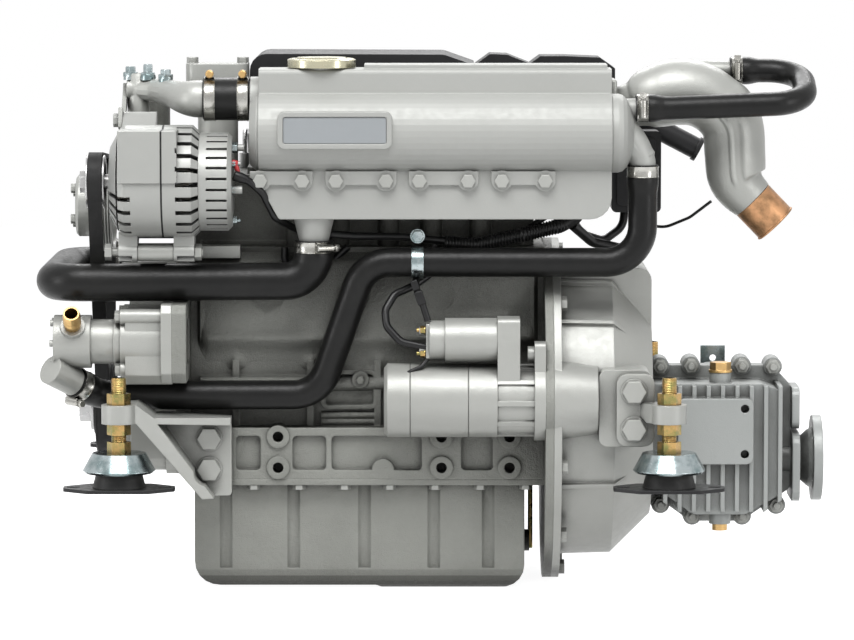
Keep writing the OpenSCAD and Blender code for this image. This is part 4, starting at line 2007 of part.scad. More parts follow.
// Relay box behind the head and the wiring
relay_off = 82;
relay_len = 59;
relay_rise = 35;
relay_h = 97;
relay_half_y = 24;
relay_corner = 6;
relay_lid_t = 3;
relay_arm_half = 8;
relay_arm_z = [10, 44];
module relay_box() {
  x = block_rear_x + relay_off;
  z = deck_z + relay_rise;
  color(plastic_black) union() {
    slab_y(-relay_half_y, relay_half_y) rounded_rect(x, x + relay_len, z, z + relay_h, relay_corner);
    box(block_rear_x - head_rear_inset, x + cut, -relay_arm_half, relay_arm_half, z + relay_arm_z[0],
      z + relay_arm_z[1]);
    slab_y(-relay_half_y - relay_lid_t, -relay_half_y) rounded_rect(x + relay_corner, x
        + relay_len - relay_corner,
      z + relay_arm_half, z + relay_h - relay_arm_half, relay_corner);
  }
}
conduit_line = [[-440, -128, 277], [-390, -130, 281], [-345, -122, 284], [-308, -84, 285], [-288, -20, 316],
  [-253.3, -20, 316]];
conduit_r = 9;
conduit_ribs = 44;
conduit_bend = 22;
conduit_groove = 1.4;
starter_cable = [[-483, -176, 158], [-502, -174, 160], [-522, -152, 194], [-506, -124, 226], [-488, -123,
    262],
  [-466, -126, 276], [-441, -128, 277]];
starter_cable_r = 5;
sensor_wire = [[-222, -5, 296.7], [-216, -8, 281], [-188, -20, 279], [-160, -36, 292], [-136, -52, 312]];
sensor_wire_r = 1.8;
wire_bend = 10;
wire_sides = 8;
function along_line(q, s) = let (n = len(q) - 1, i = min(floor(s * n), n - 1), f = s * n - i)
    q[i] * (1 - f) + q[i + 1] * f;
module wiring() {
  smooth = route(conduit_line, conduit_bend, 3);
  ribbed = [for (i = [0:2 * conduit_ribs]) along_line(smooth, i / (2 * conduit_ribs))];
  color(plastic_black) {
    sweep(ribbed, [for (i = [0:2 * conduit_ribs]) i % 2 == 0 ? conduit_r : conduit_r - conduit_groove],
        wire_sides);
    sweep(route(starter_cable, wire_bend, 2), starter_cable_r, wire_sides);
    sweep(route(sensor_wire, wire_bend, 2), sensor_wire_r, wire_sides);
  }
}

// Far side: injection pump, injector pipes, filters and dipstick
inj_y = 134;
inj_z = 168;
inj_span = [40, 190];
inj_x = [block_front_x + inj_span[0], block_front_x + inj_span[1]];
inj_low = 45;
inj_out = [26, 14];
inj_high = [10, 30];
inj_round = 8;
inj_seat_round = 1;
inj_first = 22;
inj_pitch = 34;
inj_head = [20, 46];
inj_head_r = 8;
governor_len = 34;
governor_off = 12;
governor_r = 28;
speed_deep = 14;
function pipe_x(i) = inj_x[0] + inj_first + inj_pitch * i;
module injection_pump() {
  y0 = block_half_w + jacket_proud;
  color(cast_grey) difference() {
    union() {
      slab_x(inj_x[0], inj_x[1]) polygon(rounded([[y0, inj_z - inj_low], [inj_y + inj_out[0],
          inj_z - inj_low],
        [inj_y + inj_out[0], inj_z + inj_high[0]], [inj_y + inj_out[1], inj_z + inj_high[1]],
        [y0, inj_z + inj_high[1]]], [inj_seat_round, inj_round, inj_round, inj_round, inj_seat_round]));
      for (i = [0:3]) rod_z(pipe_x(i), inj_y, inj_z + inj_head[0], inj_z + inj_head[1], inj_head_r);
      rod_x(inj_x[1], inj_x[1] + governor_len, inj_y + governor_off, inj_z - governor_off, governor_r);
      rod_y(speed_x, inj_y, speed_y, speed_z, 2 * speed_r);
    }
    rod_y(speed_x, speed_y - speed_deep, speed_y + cut, speed_z, speed_r + fit);
  }
}
// Speed lever on the governor at the rear of the injection pump
speed_out = 40;
speed_drop = 6;
speed_tip = 6;
speed_t = 5;
speed_hole_r = 3;
speed_x = inj_x[1] + governor_len / 2;
speed_y = inj_y + speed_out;
speed_z = inj_z - speed_drop;
speed_r = 5;
speed_len = 44;
module throttle_lever() {
  color(zinc_grey) difference() {
    union() {
      rod_y(speed_x, speed_y - speed_deep, speed_y + speed_tip, speed_z, speed_r);
      slab_y(speed_y + gap, speed_y + speed_t) union() {
        translate([speed_x, speed_z]) circle(r = speed_r * 2);
        translate([speed_x - speed_r, speed_z]) square([2 * speed_r, speed_len]);
        translate([speed_x, speed_z + speed_len]) circle(r = speed_r * 1.4);
      }
    }
    rod_y(speed_x, speed_y - cut, speed_y + speed_tip + cut, speed_z + speed_len, speed_hole_r);
  }
}
injector_rise = 10;
injector_in = 8;
injector_shares = [0.14, 0.2];
injector_z = head_top_z + injector_rise;
injector_y = head_half_w - injector_in;
pipe_up = 24;
pipe_shift = 6;
pipe_out = 86;
pipe_low = 92;
pipe_high = [30, 34];
pipe_end = 6;
pipe_bend = 9;
injector_pipe_r = 3;
pipe_nut_h = 8;
pipe_nut_r = 7;
module injector_pipes() {
  color(steel_grey) for (i = [0:3]) {
    x0 = pipe_x(i);
    x1 = block_x(injector_shares[0] + injector_shares[1] * i);
    side = head_half_w + pipe_out;
    sweep(route([[x0, inj_y, inj_z + inj_head[1]], [x0, inj_y, inj_z + inj_head[1] + pipe_up],
      [x0 + pipe_shift, side, inj_z + pipe_low], [x1, side, injector_z + pipe_high[0]],
      [x1, injector_y, injector_z + pipe_high[1]], [x1, injector_y, injector_z + pipe_end]],
      pipe_bend, 2), injector_pipe_r, wire_sides);
    rod_z(x1, injector_y, head_top_z, injector_z + pipe_nut_h, pipe_nut_r);
  }
}
oil_filter_share = 0.62;
oil_filter_out = 66;
oil_filter_rise = 30;
oil_filter_outline = [[0, 0], [34, 0], [38, 4], [38, 96], [33, 102], [0, 102]];
oil_neck_x = 50;
oil_neck_out = 29;
oil_neck_r = 22;
fuel_filter_share = 0.88;
fuel_filter_y = 190;
fuel_filter_drop = 16;
fuel_filter_outline = [[0, 0], [30, 0], [36, 6], [36, 78], [30, 84], [0, 84]];
fuel_arm_half = 22;
fuel_arm_y = 156;
fuel_arm_zs = [8, 18];
module filters() {
  oil_x = block_x(oil_filter_share);
  oil_z = crank_z + oil_filter_rise;
  fuel_x = block_x(fuel_filter_share);
  color(plastic_black) {
    turn_x(oil_x, block_half_w + oil_filter_out, oil_z) polygon(oil_filter_outline);
    rod_y(oil_x + oil_neck_x, block_half_w + gallery_r, block_half_w + oil_neck_out, oil_z, oil_neck_r);
  }
  color(light_grey) {
    translate([fuel_x, fuel_filter_y, deck_z - fuel_filter_drop]) rotate_extrude()
        polygon(fuel_filter_outline);
    box(fuel_x - fuel_arm_half, fuel_x + fuel_arm_half, head_half_w, fuel_arm_y, deck_z + fuel_arm_zs[0],
      deck_z + fuel_arm_zs[1]);
  }
}
dip_neck_h = 40;
dip_ring_r = 10;
dip_wire_r = 2.5;
dip_collar_h = 8;
module dipstick() {
  color(yellow_zinc) union() {
    rod_z(dip_x, dip_y, dip_low_z, deck_z + dip_neck_h, dip_r);
    rod_z(dip_x, dip_y, deck_z + gap, deck_z + dip_collar_h, 2 * dip_r);
    translate([dip_x, dip_y, deck_z + dip_neck_h + dip_ring_r]) rotate([90, 0, 0])
      rotate_extrude() translate([dip_ring_r, 0]) circle(r = dip_wire_r);
  }
}

engine_block();
oil_pan();
cylinder_head();
rocker_cover();
intake_manifold();
air_silencer();
heat_exchanger();
manifold_bolts();
end_caps();
tube_bundle();
pressure_cap();
name_plate();
exhaust_elbow();
exhaust_tail();
loop_hose();
raw_water_hose();
coolant_hose();
thermostat_hose();
hose_clamps();
water_outlet();
coolant_pump();
timing_case();
end_plates();
casing_bolts();
raw_pump_body();
brass_fittings();
raw_pump_rotor();
starter_motor();
starter_solenoid();
starter_drive_end();
bell_housing();
gearbox_near_half();
gearbox_far_half();
gearbox_covers();
shift_lever();
output_shaft();
mount_brackets();
bracket_bolts();
mount_studs();
mount_cups();
mount_rubbers();
mount_bases();
drive_belt();
crankshaft();
crank_pulley();
flywheel();
pump_pulley();
alternator_front();
alternator_rear();
alternator_cover();
alternator_rotor();
alternator_bracket();
relay_box();
wiring();
injection_pump();
injector_pipes();
filters();
throttle_lever();
dipstick();
oil_cap();
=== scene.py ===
# %% [markdown]
# # A marine diesel engine
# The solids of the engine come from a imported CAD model. Blender doesn't move or reshape them. It gives them
# their finishes, and it adds the pieces that are too soft in form or too fine for plain solids: rubber hoses,
# cast bends, band clamps, threads, cables and windings.

# %% Load the frame
import json
import math

import bmesh
import bpy
from mathutils import Matrix, Vector
from mathutils.bvhtree import BVHTree


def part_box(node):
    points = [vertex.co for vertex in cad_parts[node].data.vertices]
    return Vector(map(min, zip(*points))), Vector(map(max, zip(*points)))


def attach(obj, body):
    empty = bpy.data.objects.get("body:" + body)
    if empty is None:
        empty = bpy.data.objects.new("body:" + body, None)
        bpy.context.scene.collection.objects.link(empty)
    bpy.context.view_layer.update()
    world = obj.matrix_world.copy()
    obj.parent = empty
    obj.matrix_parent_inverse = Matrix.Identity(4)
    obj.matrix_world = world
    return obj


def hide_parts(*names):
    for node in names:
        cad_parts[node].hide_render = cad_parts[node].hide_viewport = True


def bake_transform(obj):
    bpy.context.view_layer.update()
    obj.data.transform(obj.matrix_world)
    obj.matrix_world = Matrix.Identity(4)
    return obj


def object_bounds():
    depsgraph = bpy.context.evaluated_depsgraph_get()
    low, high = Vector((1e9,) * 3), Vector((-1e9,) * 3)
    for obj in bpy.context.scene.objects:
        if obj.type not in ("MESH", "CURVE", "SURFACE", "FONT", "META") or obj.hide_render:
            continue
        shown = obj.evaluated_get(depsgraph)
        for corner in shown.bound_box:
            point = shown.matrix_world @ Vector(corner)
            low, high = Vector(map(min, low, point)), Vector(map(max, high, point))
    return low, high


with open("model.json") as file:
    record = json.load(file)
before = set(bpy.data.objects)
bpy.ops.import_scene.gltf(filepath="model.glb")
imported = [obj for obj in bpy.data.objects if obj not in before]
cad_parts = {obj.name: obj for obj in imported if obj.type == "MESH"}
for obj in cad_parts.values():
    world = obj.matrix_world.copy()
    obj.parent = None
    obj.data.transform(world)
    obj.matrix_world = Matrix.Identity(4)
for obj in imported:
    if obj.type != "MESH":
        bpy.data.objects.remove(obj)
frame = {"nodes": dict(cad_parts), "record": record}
cad_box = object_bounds()
NODES = frame["nodes"]

# %% [markdown]
# ## Camera
# The photograph was taken from the side of the engine through a long lens, a little from above. With a long
# lens the far parts are hardly smaller than the near ones. Blender's lens is given in millimetres for a sensor
# 36 mm wide, which turns the wanted angle of view into a focal length.

# %% Camera
LENS = 202.3
DISTANCE = 5.76
TILT = math.radians(5.1)
LOOK_AT = Vector((-0.473, 0.0, 0.166))

camera_data = bpy.data.cameras.new("camera")
camera_data.lens = LENS
camera = bpy.data.objects.new("camera", camera_data)
bpy.context.scene.collection.objects.link(camera)
camera.location = LOOK_AT + DISTANCE * Vector((0.0, -math.cos(TILT), math.sin(TILT)))
camera.rotation_euler = (math.radians(90) - TILT, 0.0, 0.0)
bpy.context.scene.camera = camera
bpy.context.scene.view_settings.view_transform = "Standard"
print("camera at", [round(v, 3) for v in camera.location])

# %% [markdown]
# ## Lamps
# Large soft lamps stand round the engine: one above and in front, one low on the left for the belt side, one
# on the right, and one behind for the rims. Large lamps give paint on castings its broad, soft highlights.
# They are kept at a level where a colour renders about as it is written.

# %% Lamps
FLOOR_Z = cad_box[0][2]


def soft_lamp(name, place, size, power):
    data = bpy.data.lights.new(name, "AREA")
    data.shape = "RECTANGLE"
    data.size, data.size_y = size
    data.energy = power
    lamp = bpy.data.objects.new(name, data)
    lamp.location = place
    lamp.rotation_euler = (LOOK_AT - Vector(place)).to_track_quat("-Z", "Y").to_euler()
    bpy.context.scene.collection.objects.link(lamp)
    print(name, power, "watts")


soft_lamp("key", (-0.7, -1.6, 2.6), (2.4, 1.3), 86)
soft_lamp("left", (-2.6, -1.0, 0.6), (0.5, 1.2), 11)
soft_lamp("right", (1.5, -1.6, 0.7), (0.5, 1.3), 12)
soft_lamp("rim", (-0.2, 1.9, 1.9), (2.0, 0.8), 30)

# %% [markdown]
# ## World and floor
# The world is white to the camera and to reflections, and a dark grey for everything else, so the background
# shows white without lighting the object. The Light Path node tells these rays apart. The floor glows for
# the camera in the same way, so it joins the background, and the engine's shadow still darkens it.

# %% World and floor


def add(tree, kind, **values):
    """Adds a node. Each value is a setting of the node or, if there is no such setting, one of its inputs."""
    made = tree.nodes.new(kind)
    for key, value in values.items():
        if hasattr(made, key):
            setattr(made, key, value)
        else:
            made.inputs[key.replace("_", " ").title()].default_value = value
    return made


def seen_only(tree, kind, lighting, seen):
    """One colour for the light, and another for rays from the camera, from glossy surfaces and through glass."""
    rays = add(tree, "ShaderNodeLightPath")
    direct = rays.outputs["Is Camera Ray"]
    for ray in ("Is Glossy Ray", "Is Transmission Ray"):
        either = add(tree, "ShaderNodeMath", operation="MAXIMUM")
        tree.links.new(direct, either.inputs[0])
        tree.links.new(rays.outputs[ray], either.inputs[1])
        direct = either.outputs[0]
    mix = add(tree, "ShaderNodeMixShader")
    tree.links.new(direct, mix.inputs["Fac"])
    for slot, colour in ((1, lighting), (2, seen)):
        source = add(tree, kind)
        source.inputs["Color"].default_value = (*colour, 1)
        tree.links.new(source.outputs[0], mix.inputs[slot])
    return mix.outputs[0]


WORLD_GREY, WORLD_WHITE = (0.09, 0.094, 0.10), (1, 1, 1)
world = bpy.data.worlds.new("studio")
bpy.context.scene.world = world
world.use_nodes = True
tree = world.node_tree
tree.nodes.clear()
out = add(tree, "ShaderNodeOutputWorld")
tree.links.new(seen_only(tree, "ShaderNodeBackground", WORLD_GREY, WORLD_WHITE), out.inputs["Surface"])

FLOOR_HALF, FLOOR_GREY, FLOOR_GLOW = 6.0, 0.6, 0.94
floor_corners = [(x * FLOOR_HALF, y * FLOOR_HALF, 0) for x, y in ((-1, -1), (1, -1), (1, 1), (-1, 1))]
floor_mesh = bpy.data.meshes.new("floor")
floor_mesh.from_pydata(floor_corners, [], [(0, 1, 2, 3)])
floor = bpy.data.objects.new("floor", floor_mesh)
floor.location = (LOOK_AT.x, 0, FLOOR_Z)
bpy.context.scene.collection.objects.link(floor)

pale = bpy.data.materials.new("pale floor")
pale.use_nodes = True
tree = pale.node_tree
tree.nodes.clear()
diffuse = add(tree, "ShaderNodeBsdfDiffuse")
diffuse.inputs["Color"].default_value = (FLOOR_GREY, FLOOR_GREY, FLOOR_GREY, 1)
both = add(tree, "ShaderNodeAddShader")
out = add(tree, "ShaderNodeOutputMaterial")
tree.links.new(diffuse.outputs[0], both.inputs[0])
tree.links.new(seen_only(tree, "ShaderNodeEmission", (0, 0, 0), (FLOOR_GLOW,) * 3), both.inputs[1])
tree.links.new(both.outputs[0], out.inputs["Surface"])
floor_mesh.materials.append(pale)
print("floor at", round(FLOOR_Z, 4))

# %% [markdown]
# ## Shared effects
# Paint on castings, bare plating and rubber all show the same few things: a fine grain and slow changes of
# tone. The finishes also darken the corners as painted shade, and lighten the edges for wear and as a painted
# highlight. Each is built once as a node group with named inputs and outputs, and every finish places it with
# its own values. The helpers below make a group, remap a value and blend two colours.

# %% Helpers for node groups
FLOAT, COLOUR = "NodeSocketFloat", "NodeSocketColor"


def new_group(name, inputs, outputs):
    group = bpy.data.node_groups.new(name, "ShaderNodeTree")
    for label, kind, value in inputs:
        socket = group.interface.new_socket(label, in_out="INPUT", socket_type=kind)
        socket.default_value = value
    for label, kind in outputs:
        group.interface.new_socket(label, in_out="OUTPUT", socket_type=kind)
    return group, group.nodes.new("NodeGroupInput"), group.nodes.new("NodeGroupOutput")


def mapped(tree, source, low, high, to_low=0.0, to_high=1.0):
    step = tree.nodes.new("ShaderNodeMapRange")
    step.interpolation_type = "SMOOTHSTEP"
    for label, value in (("From Min", low), ("From Max", high), ("To Min", to_low), ("To Max", to_high)):
        step.inputs[label].default_value = value
    tree.links.new(source, step.inputs["Value"])
    return step.outputs["Result"]


def mixed(tree, share, first, second):
    """Blends two colours. Each is a socket or three numbers, and share is a socket."""
    blend = tree.nodes.new("ShaderNodeMix")
    blend.data_type = "RGBA"
    tree.links.new(share, blend.inputs["Factor"])
    for slot, colour in ((6, first), (7, second)):
        if hasattr(colour, "is_output"):
            tree.links.new(colour, blend.inputs[slot])
        else:
            blend.inputs[slot].default_value = (*colour, 1)
    return blend.outputs[2]


# %% [markdown]
# The grain is two noises added up: a fine one for the pitted skin that sand leaves under paint, and a coarse
# one for the slow waves of a cast wall. It is used as a height for a Bump node.

# %% Grain
grain, start, end = new_group("grain", [("Scale", FLOAT, 900.0), ("Coarse Scale", FLOAT, 120.0)],
                              [("Height", FLOAT), ("Coarse", FLOAT)])
link = grain.links.new
place = add(grain, "ShaderNodeTexCoord")
fine = add(grain, "ShaderNodeTexNoise", detail=3.0)
coarse = add(grain, "ShaderNodeTexNoise", detail=4.0)
link(place.outputs["Object"], fine.inputs["Vector"])
link(place.outputs["Object"], coarse.inputs["Vector"])
link(start.outputs["Scale"], fine.inputs["Scale"])
link(start.outputs["Coarse Scale"], coarse.inputs["Scale"])
total = add(grain, "ShaderNodeMath", operation="ADD")
link(fine.outputs["Fac"], total.inputs[0])
link(coarse.outputs["Fac"], total.inputs[1])
link(total.outputs[0], end.inputs["Height"])
link(coarse.outputs["Fac"], end.inputs["Coarse"])

# %% [markdown]
# A Bevel node gives the normal that a rounded edge would have. Where it turns away from the flat normal there
# is an edge, which the finishes lighten for wear and as a painted highlight. Ambient occlusion finds the
# opposite, the hollows, which the finishes darken as painted shade.

# %% Edges and hollows
FLAT_FROM, EDGE_AT = 0.995, 0.80
OPEN_FROM, HOLLOW_AT = 0.90, 0.20
corners, start, end = new_group("edges and hollows", [("Radius", FLOAT, 0.0012), ("Reach", FLOAT, 0.02)],
                                [("Edge", FLOAT), ("Hollow", FLOAT)])
link = corners.links.new
soft = add(corners, "ShaderNodeBevel", samples=4)
link(start.outputs["Radius"], soft.inputs["Radius"])
flat = add(corners, "ShaderNodeNewGeometry")
turn = add(corners, "ShaderNodeVectorMath", operation="DOT_PRODUCT")
link(soft.outputs["Normal"], turn.inputs[0])
link(flat.outputs["Normal"], turn.inputs[1])
link(mapped(corners, turn.outputs["Value"], FLAT_FROM, EDGE_AT), end.inputs["Edge"])
shade = add(corners, "ShaderNodeAmbientOcclusion", samples=4)
link(start.outputs["Reach"], shade.inputs["Distance"])
link(mapped(corners, shade.outputs["AO"], OPEN_FROM, HOLLOW_AT), end.inputs["Hollow"])

# %% [markdown]
# The tone group blends two colours by a large, soft noise: an uneven coat of paint, or plating that has turned
# more yellow in one place than in another.

# %% Tone
CLOUD_LOW, CLOUD_HIGH = 0.35, 0.70
tone, start, end = new_group("tone", [("First", COLOUR, (0.5, 0.5, 0.5, 1)), ("Second", COLOUR, (0.4, 0.4, 0.4, 1)),
                                      ("Scale", FLOAT, 9.0), ("Amount", FLOAT, 0.3)],
                             [("Colour", COLOUR)])
link = tone.links.new
place = add(tone, "ShaderNodeTexCoord")
cloud = add(tone, "ShaderNodeTexNoise", detail=6.0, roughness=0.6)
link(place.outputs["Object"], cloud.inputs["Vector"])
link(start.outputs["Scale"], cloud.inputs["Scale"])
amount = add(tone, "ShaderNodeMath", operation="MULTIPLY")
link(mapped(tone, cloud.outputs["Fac"], CLOUD_LOW, CLOUD_HIGH), amount.inputs[0])
link(start.outputs["Amount"], amount.inputs[1])
link(mixed(tone, amount.outputs[0], start.outputs["First"], start.outputs["Second"]), end.inputs["Colour"])
print("groups", [g.name for g in bpy.data.node_groups])

# %% [markdown]
# ## Finishes
# One function builds every finish from the shared effects: the base tone, painted shade in the hollows, edges
# lightened for wear and as a painted highlight, grain as a bump, and a roughness that follows the grain. What
# differs between paint, plating and rubber is only numbers. The rounded normal goes into the bump as well,
# because no real casting has a knife edge.

# %% Build a finish
GRAIN_SCALE, ROUGHNESS_SPREAD, COAT_ROUGHNESS, EDGE_LIGHTER = 900.0, 0.06, 0.18, 1.35


# The colour and amount for the hollows give painted shade; the lighter edge colour is partly wear and partly a
# painted highlight.
def finish(name, colour, second, roughness, metallic=0.0, amount=0.35, tone_scale=9.0, coarse_scale=120.0,
           bump=0.10, depth=0.0004, edge=None, edge_amount=0.25, painted_shade=(0.10, 0.10, 0.09), painted_shade_amount=0.35,
           reach=0.02, coat=0.0, radius=0.0012, shine=0.5):
    """A material of two tones. In metres, depth is that of the grain, reach is how far a hollow feels its walls,
    and radius is that of the rounded edges."""
    material = bpy.data.materials.new(name)
    material.use_nodes = True
    tree = material.node_tree
    link, shader = tree.links.new, tree.nodes["Principled BSDF"]
    base = add(tree, "ShaderNodeGroup", node_tree=tone, first=(*colour, 1), second=(*second, 1),
               scale=tone_scale, amount=amount)
    found = add(tree, "ShaderNodeGroup", node_tree=corners, radius=radius, reach=reach)
    skin = add(tree, "ShaderNodeGroup", node_tree=grain, scale=GRAIN_SCALE, coarse_scale=coarse_scale)
    # painted shade: the hollows found by ambient occlusion are darkened towards a shade colour
    with_painted_shade = mixed(tree, mapped(tree, found.outputs["Hollow"], 0, 1, 0, painted_shade_amount), base.outputs["Colour"], painted_shade)
    # the edges are lightened for wear and as a painted highlight
    worn_and_highlit = mixed(tree, mapped(tree, found.outputs["Edge"], 0, 1, 0, edge_amount), with_painted_shade,
                   edge or [min(1, c * EDGE_LIGHTER) for c in colour])
    link(worn_and_highlit, shader.inputs["Base Color"])
    uneven = mapped(tree, skin.outputs["Coarse"], 0.3, 0.7, roughness - ROUGHNESS_SPREAD,
                    roughness + ROUGHNESS_SPREAD)
    link(uneven, shader.inputs["Roughness"])
    for label, value in (("Metallic", metallic), ("Specular IOR Level", shine), ("Coat Weight", coat),
                         ("Coat Roughness", COAT_ROUGHNESS)):
        shader.inputs[label].default_value = value
    soft = add(tree, "ShaderNodeBevel", samples=6, radius=radius)
    relief = add(tree, "ShaderNodeBump", strength=bump, distance=depth)
    link(skin.outputs["Height"], relief.inputs["Height"])
    link(soft.outputs["Normal"], relief.inputs["Normal"])
    link(relief.outputs["Normal"], shader.inputs["Normal"])
    return material


# %% [markdown]
# The engine is sprayed in one satin silver grey, over cast iron, cast aluminium and pressed steel. The iron
# shows its sand through the paint, and the aluminium is smoother. The engine paint is that same grey, given a
# darker colour as painted shade.

# %% Painted metal
# in each finish below, the colour and amount for the hollows set its painted shade
CAST = dict(metallic=0.25, bump=0.35, depth=0.0007, painted_shade=(0.05, 0.05, 0.045), reach=0.03, shine=0.45)
FINISHES = {
    # the same silver grey, darkened as painted shade
    "engine_paint": finish("engine paint", (0.30, 0.305, 0.28), (0.215, 0.22, 0.20), 0.42, metallic=0.25,
                           amount=0.55, bump=0.7, depth=0.0013, coarse_scale=170, painted_shade_amount=0.95,
                           painted_shade=(0.035, 0.035, 0.03), radius=0.0028, reach=0.07, shine=0.4),
    "silver_paint": finish("silver paint", (0.45, 0.455, 0.43), (0.36, 0.365, 0.34), 0.36, painted_shade_amount=0.9,
                           radius=0.0018, **CAST),
    "tank_paint": finish("tank paint", (0.43, 0.435, 0.415), (0.385, 0.39, 0.37), 0.52, metallic=0.2, shine=0.4,
                         bump=0.22, depth=0.0005, amount=0.3, radius=0.002),
    "gear_paint": finish("gear paint", (0.40, 0.415, 0.405), (0.32, 0.335, 0.325), 0.40, painted_shade_amount=0.85,
                         radius=0.0022, **CAST),
    "alternator_metal": finish("alternator metal", (0.43, 0.435, 0.415), (0.35, 0.355, 0.34), 0.42, metallic=0.35,
                               bump=0.3, depth=0.0005, painted_shade_amount=0.95, painted_shade=(0.03, 0.03, 0.03),
                               shine=0.4),
}

# %% [markdown]
# Plastic and rubber hardly reflect, but they are never quite black: dust and wear lift them a little, and their
# lighter edges are partly a painted highlight. The hoses keep the slight shine of a moulded skin.

# %% Plastic and rubber
FINISHES.update({
    "black_plastic": finish("black plastic", (0.014, 0.014, 0.015), (0.024, 0.024, 0.025), 0.45, shine=0.3,
                            bump=0.25, painted_shade=(0.03, 0.03, 0.03), edge=(0.06, 0.06, 0.06)),
    "black_paint": finish("black paint", (0.012, 0.012, 0.013), (0.022, 0.022, 0.023), 0.36, shine=0.3,
                          edge=(0.14, 0.14, 0.14), edge_amount=0.35),
    "filter_paint": finish("filter paint", (0.72, 0.72, 0.70), (0.64, 0.64, 0.62), 0.3, coat=0.3),
    "hose_rubber": finish("hose rubber", (0.007, 0.007, 0.007), (0.014, 0.0138, 0.013), 0.34, shine=0.22,
                          bump=0.3, depth=0.0005, coarse_scale=230, painted_shade_amount=0.0, edge_amount=0.0, amount=0.6,
                          tone_scale=14),
    "belt_rubber": finish("belt rubber", (0.008, 0.008, 0.008), (0.016, 0.016, 0.016), 0.62,
                          edge_amount=0.1, shine=0.3),
    "mount_rubber": finish("mount rubber", (0.008, 0.008, 0.008), (0.014, 0.014, 0.014), 0.5,
                           edge_amount=0.1, shine=0.3),
    "impeller_rubber": finish("impeller rubber", (0.02, 0.02, 0.02), (0.03, 0.03, 0.03), 0.5),
    "wire_plastic": finish("wire plastic", (0.008, 0.008, 0.0085), (0.015, 0.015, 0.015), 0.34, painted_shade_amount=0.1,
                            radius=0.0005, shine=0.3),
})

# %% [markdown]
# Bare and plated metal takes its colour from reflections, so it is fully metallic. Zinc comes clear or with a
# yellow film that turns to green and rose where it is thicker, which is why its second colour is so different.

# %% Bare and plated metal
FINISHES.update({
    "copper_nickel": finish("copper nickel", (0.62, 0.38, 0.27), (0.50, 0.33, 0.25), 0.35, metallic=1.0),
    "copper": finish("copper tail", (0.56, 0.30, 0.15), (0.20, 0.115, 0.055), 0.44, metallic=0.75, amount=1.0,
                     tone_scale=48, bump=0.35, painted_shade=(0.12, 0.10, 0.06), painted_shade_amount=0.5, edge=(0.85, 0.55, 0.33)),
    "brass": finish("brass", (0.60, 0.40, 0.17), (0.42, 0.26, 0.11), 0.34, metallic=1.0, tone_scale=60, amount=0.7),
    "yellow_zinc": finish("yellow zinc", (0.52, 0.33, 0.13), (0.20, 0.22, 0.08), 0.30, metallic=0.95, amount=0.9,
                          tone_scale=95, bump=0.1, painted_shade=(0.08, 0.05, 0.02), painted_shade_amount=0.7, radius=0.0004),
    "bright_zinc": finish("bright zinc", (0.40, 0.45, 0.46), (0.17, 0.23, 0.235), 0.22, metallic=1.0, amount=0.95,
                          tone_scale=55, bump=0.12, painted_shade_amount=0.5),
    "plate_metal": finish("plate metal", (0.34, 0.36, 0.375), (0.31, 0.33, 0.34), 0.42, metallic=0.3, bump=0.05),
    "stainless": finish("stainless", (0.42, 0.415, 0.39), (0.25, 0.24, 0.215), 0.24, metallic=1.0, bump=0.05,
                        amount=0.8, tone_scale=45, radius=0.0003),
    "bare_steel": finish("bare steel", (0.48, 0.48, 0.48), (0.36, 0.35, 0.34), 0.32, metallic=1.0, bump=0.08),
    "bare_iron": finish("bare iron", (0.30, 0.29, 0.28), (0.21, 0.20, 0.19), 0.45, metallic=0.9),
})
SLOTS = {part["node"]: part["material_slot"] for part in frame["record"]["subparts"]}
for name, node in NODES.items():
    node.data.materials.clear()
    node.data.materials.append(FINISHES[SLOTS[name]])
print("finishes", len(FINISHES))

# %% [markdown]
# The header tank's cap is plated paler than the mount studs, and the windings were sprayed over, so they are
# dull. The joint between the alternator's halves is a dark line laid over the paint by position, because the
# gap is thinner than a pixel.

# %% Finishes of their own
JOINT_HALF, JOINT_COLOUR = 0.0011, (0.01, 0.01, 0.01)
pale_cap = finish("pale cap", (0.55, 0.52, 0.38), (0.36, 0.35, 0.26), 0.25, metallic=1.0, amount=0.7,
                  tone_scale=60)
NODES["pressure_cap"].data.materials[0] = pale_cap
sprayed_wire = finish("sprayed wire", (0.26, 0.255, 0.23), (0.15, 0.12, 0.08), 0.4, metallic=0.3, amount=0.8,
                      tone_scale=140, radius=0.0004)


def dark_line(material, x, half):
    """Darkens the finish where the place along X is within half of x, in metres."""
    tree = material.node_tree
    colour = tree.nodes["Principled BSDF"].inputs["Base Color"]
    painted = colour.links[0].from_socket
    place = add(tree, "ShaderNodeTexCoord")
    parts = add(tree, "ShaderNodeSeparateXYZ")
    tree.links.new(place.outputs["Object"], parts.inputs[0])
    near = add(tree, "ShaderNodeMath", operation="COMPARE")
    near.inputs[1].default_value = x
    near.inputs[2].default_value = half
    tree.links.new(parts.outputs["X"], near.inputs[0])
    tree.links.new(mixed(tree, near.outputs[0], painted, JOINT_COLOUR), colour)


joint_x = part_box("alternator_rear")[0][0]
dark_line(FINISHES["alternator_metal"], joint_x, JOINT_HALF)
print("alternator joint at", round(joint_x, 4))

# %% [markdown]
# ## Pieces made in Blender
# Each added piece is a mesh built by code in millimetres, the unit of an engine drawing. One function then
# settles it into the scene: it scales the mesh to metres, shades it smooth with its sharp edges kept, gives it
# a finish, and lets it ride on the body that carries it, or leaves it on no body. Where it stands for a plain
# solid, it hides that solid.

# %% Settle a piece
MM = 0.001


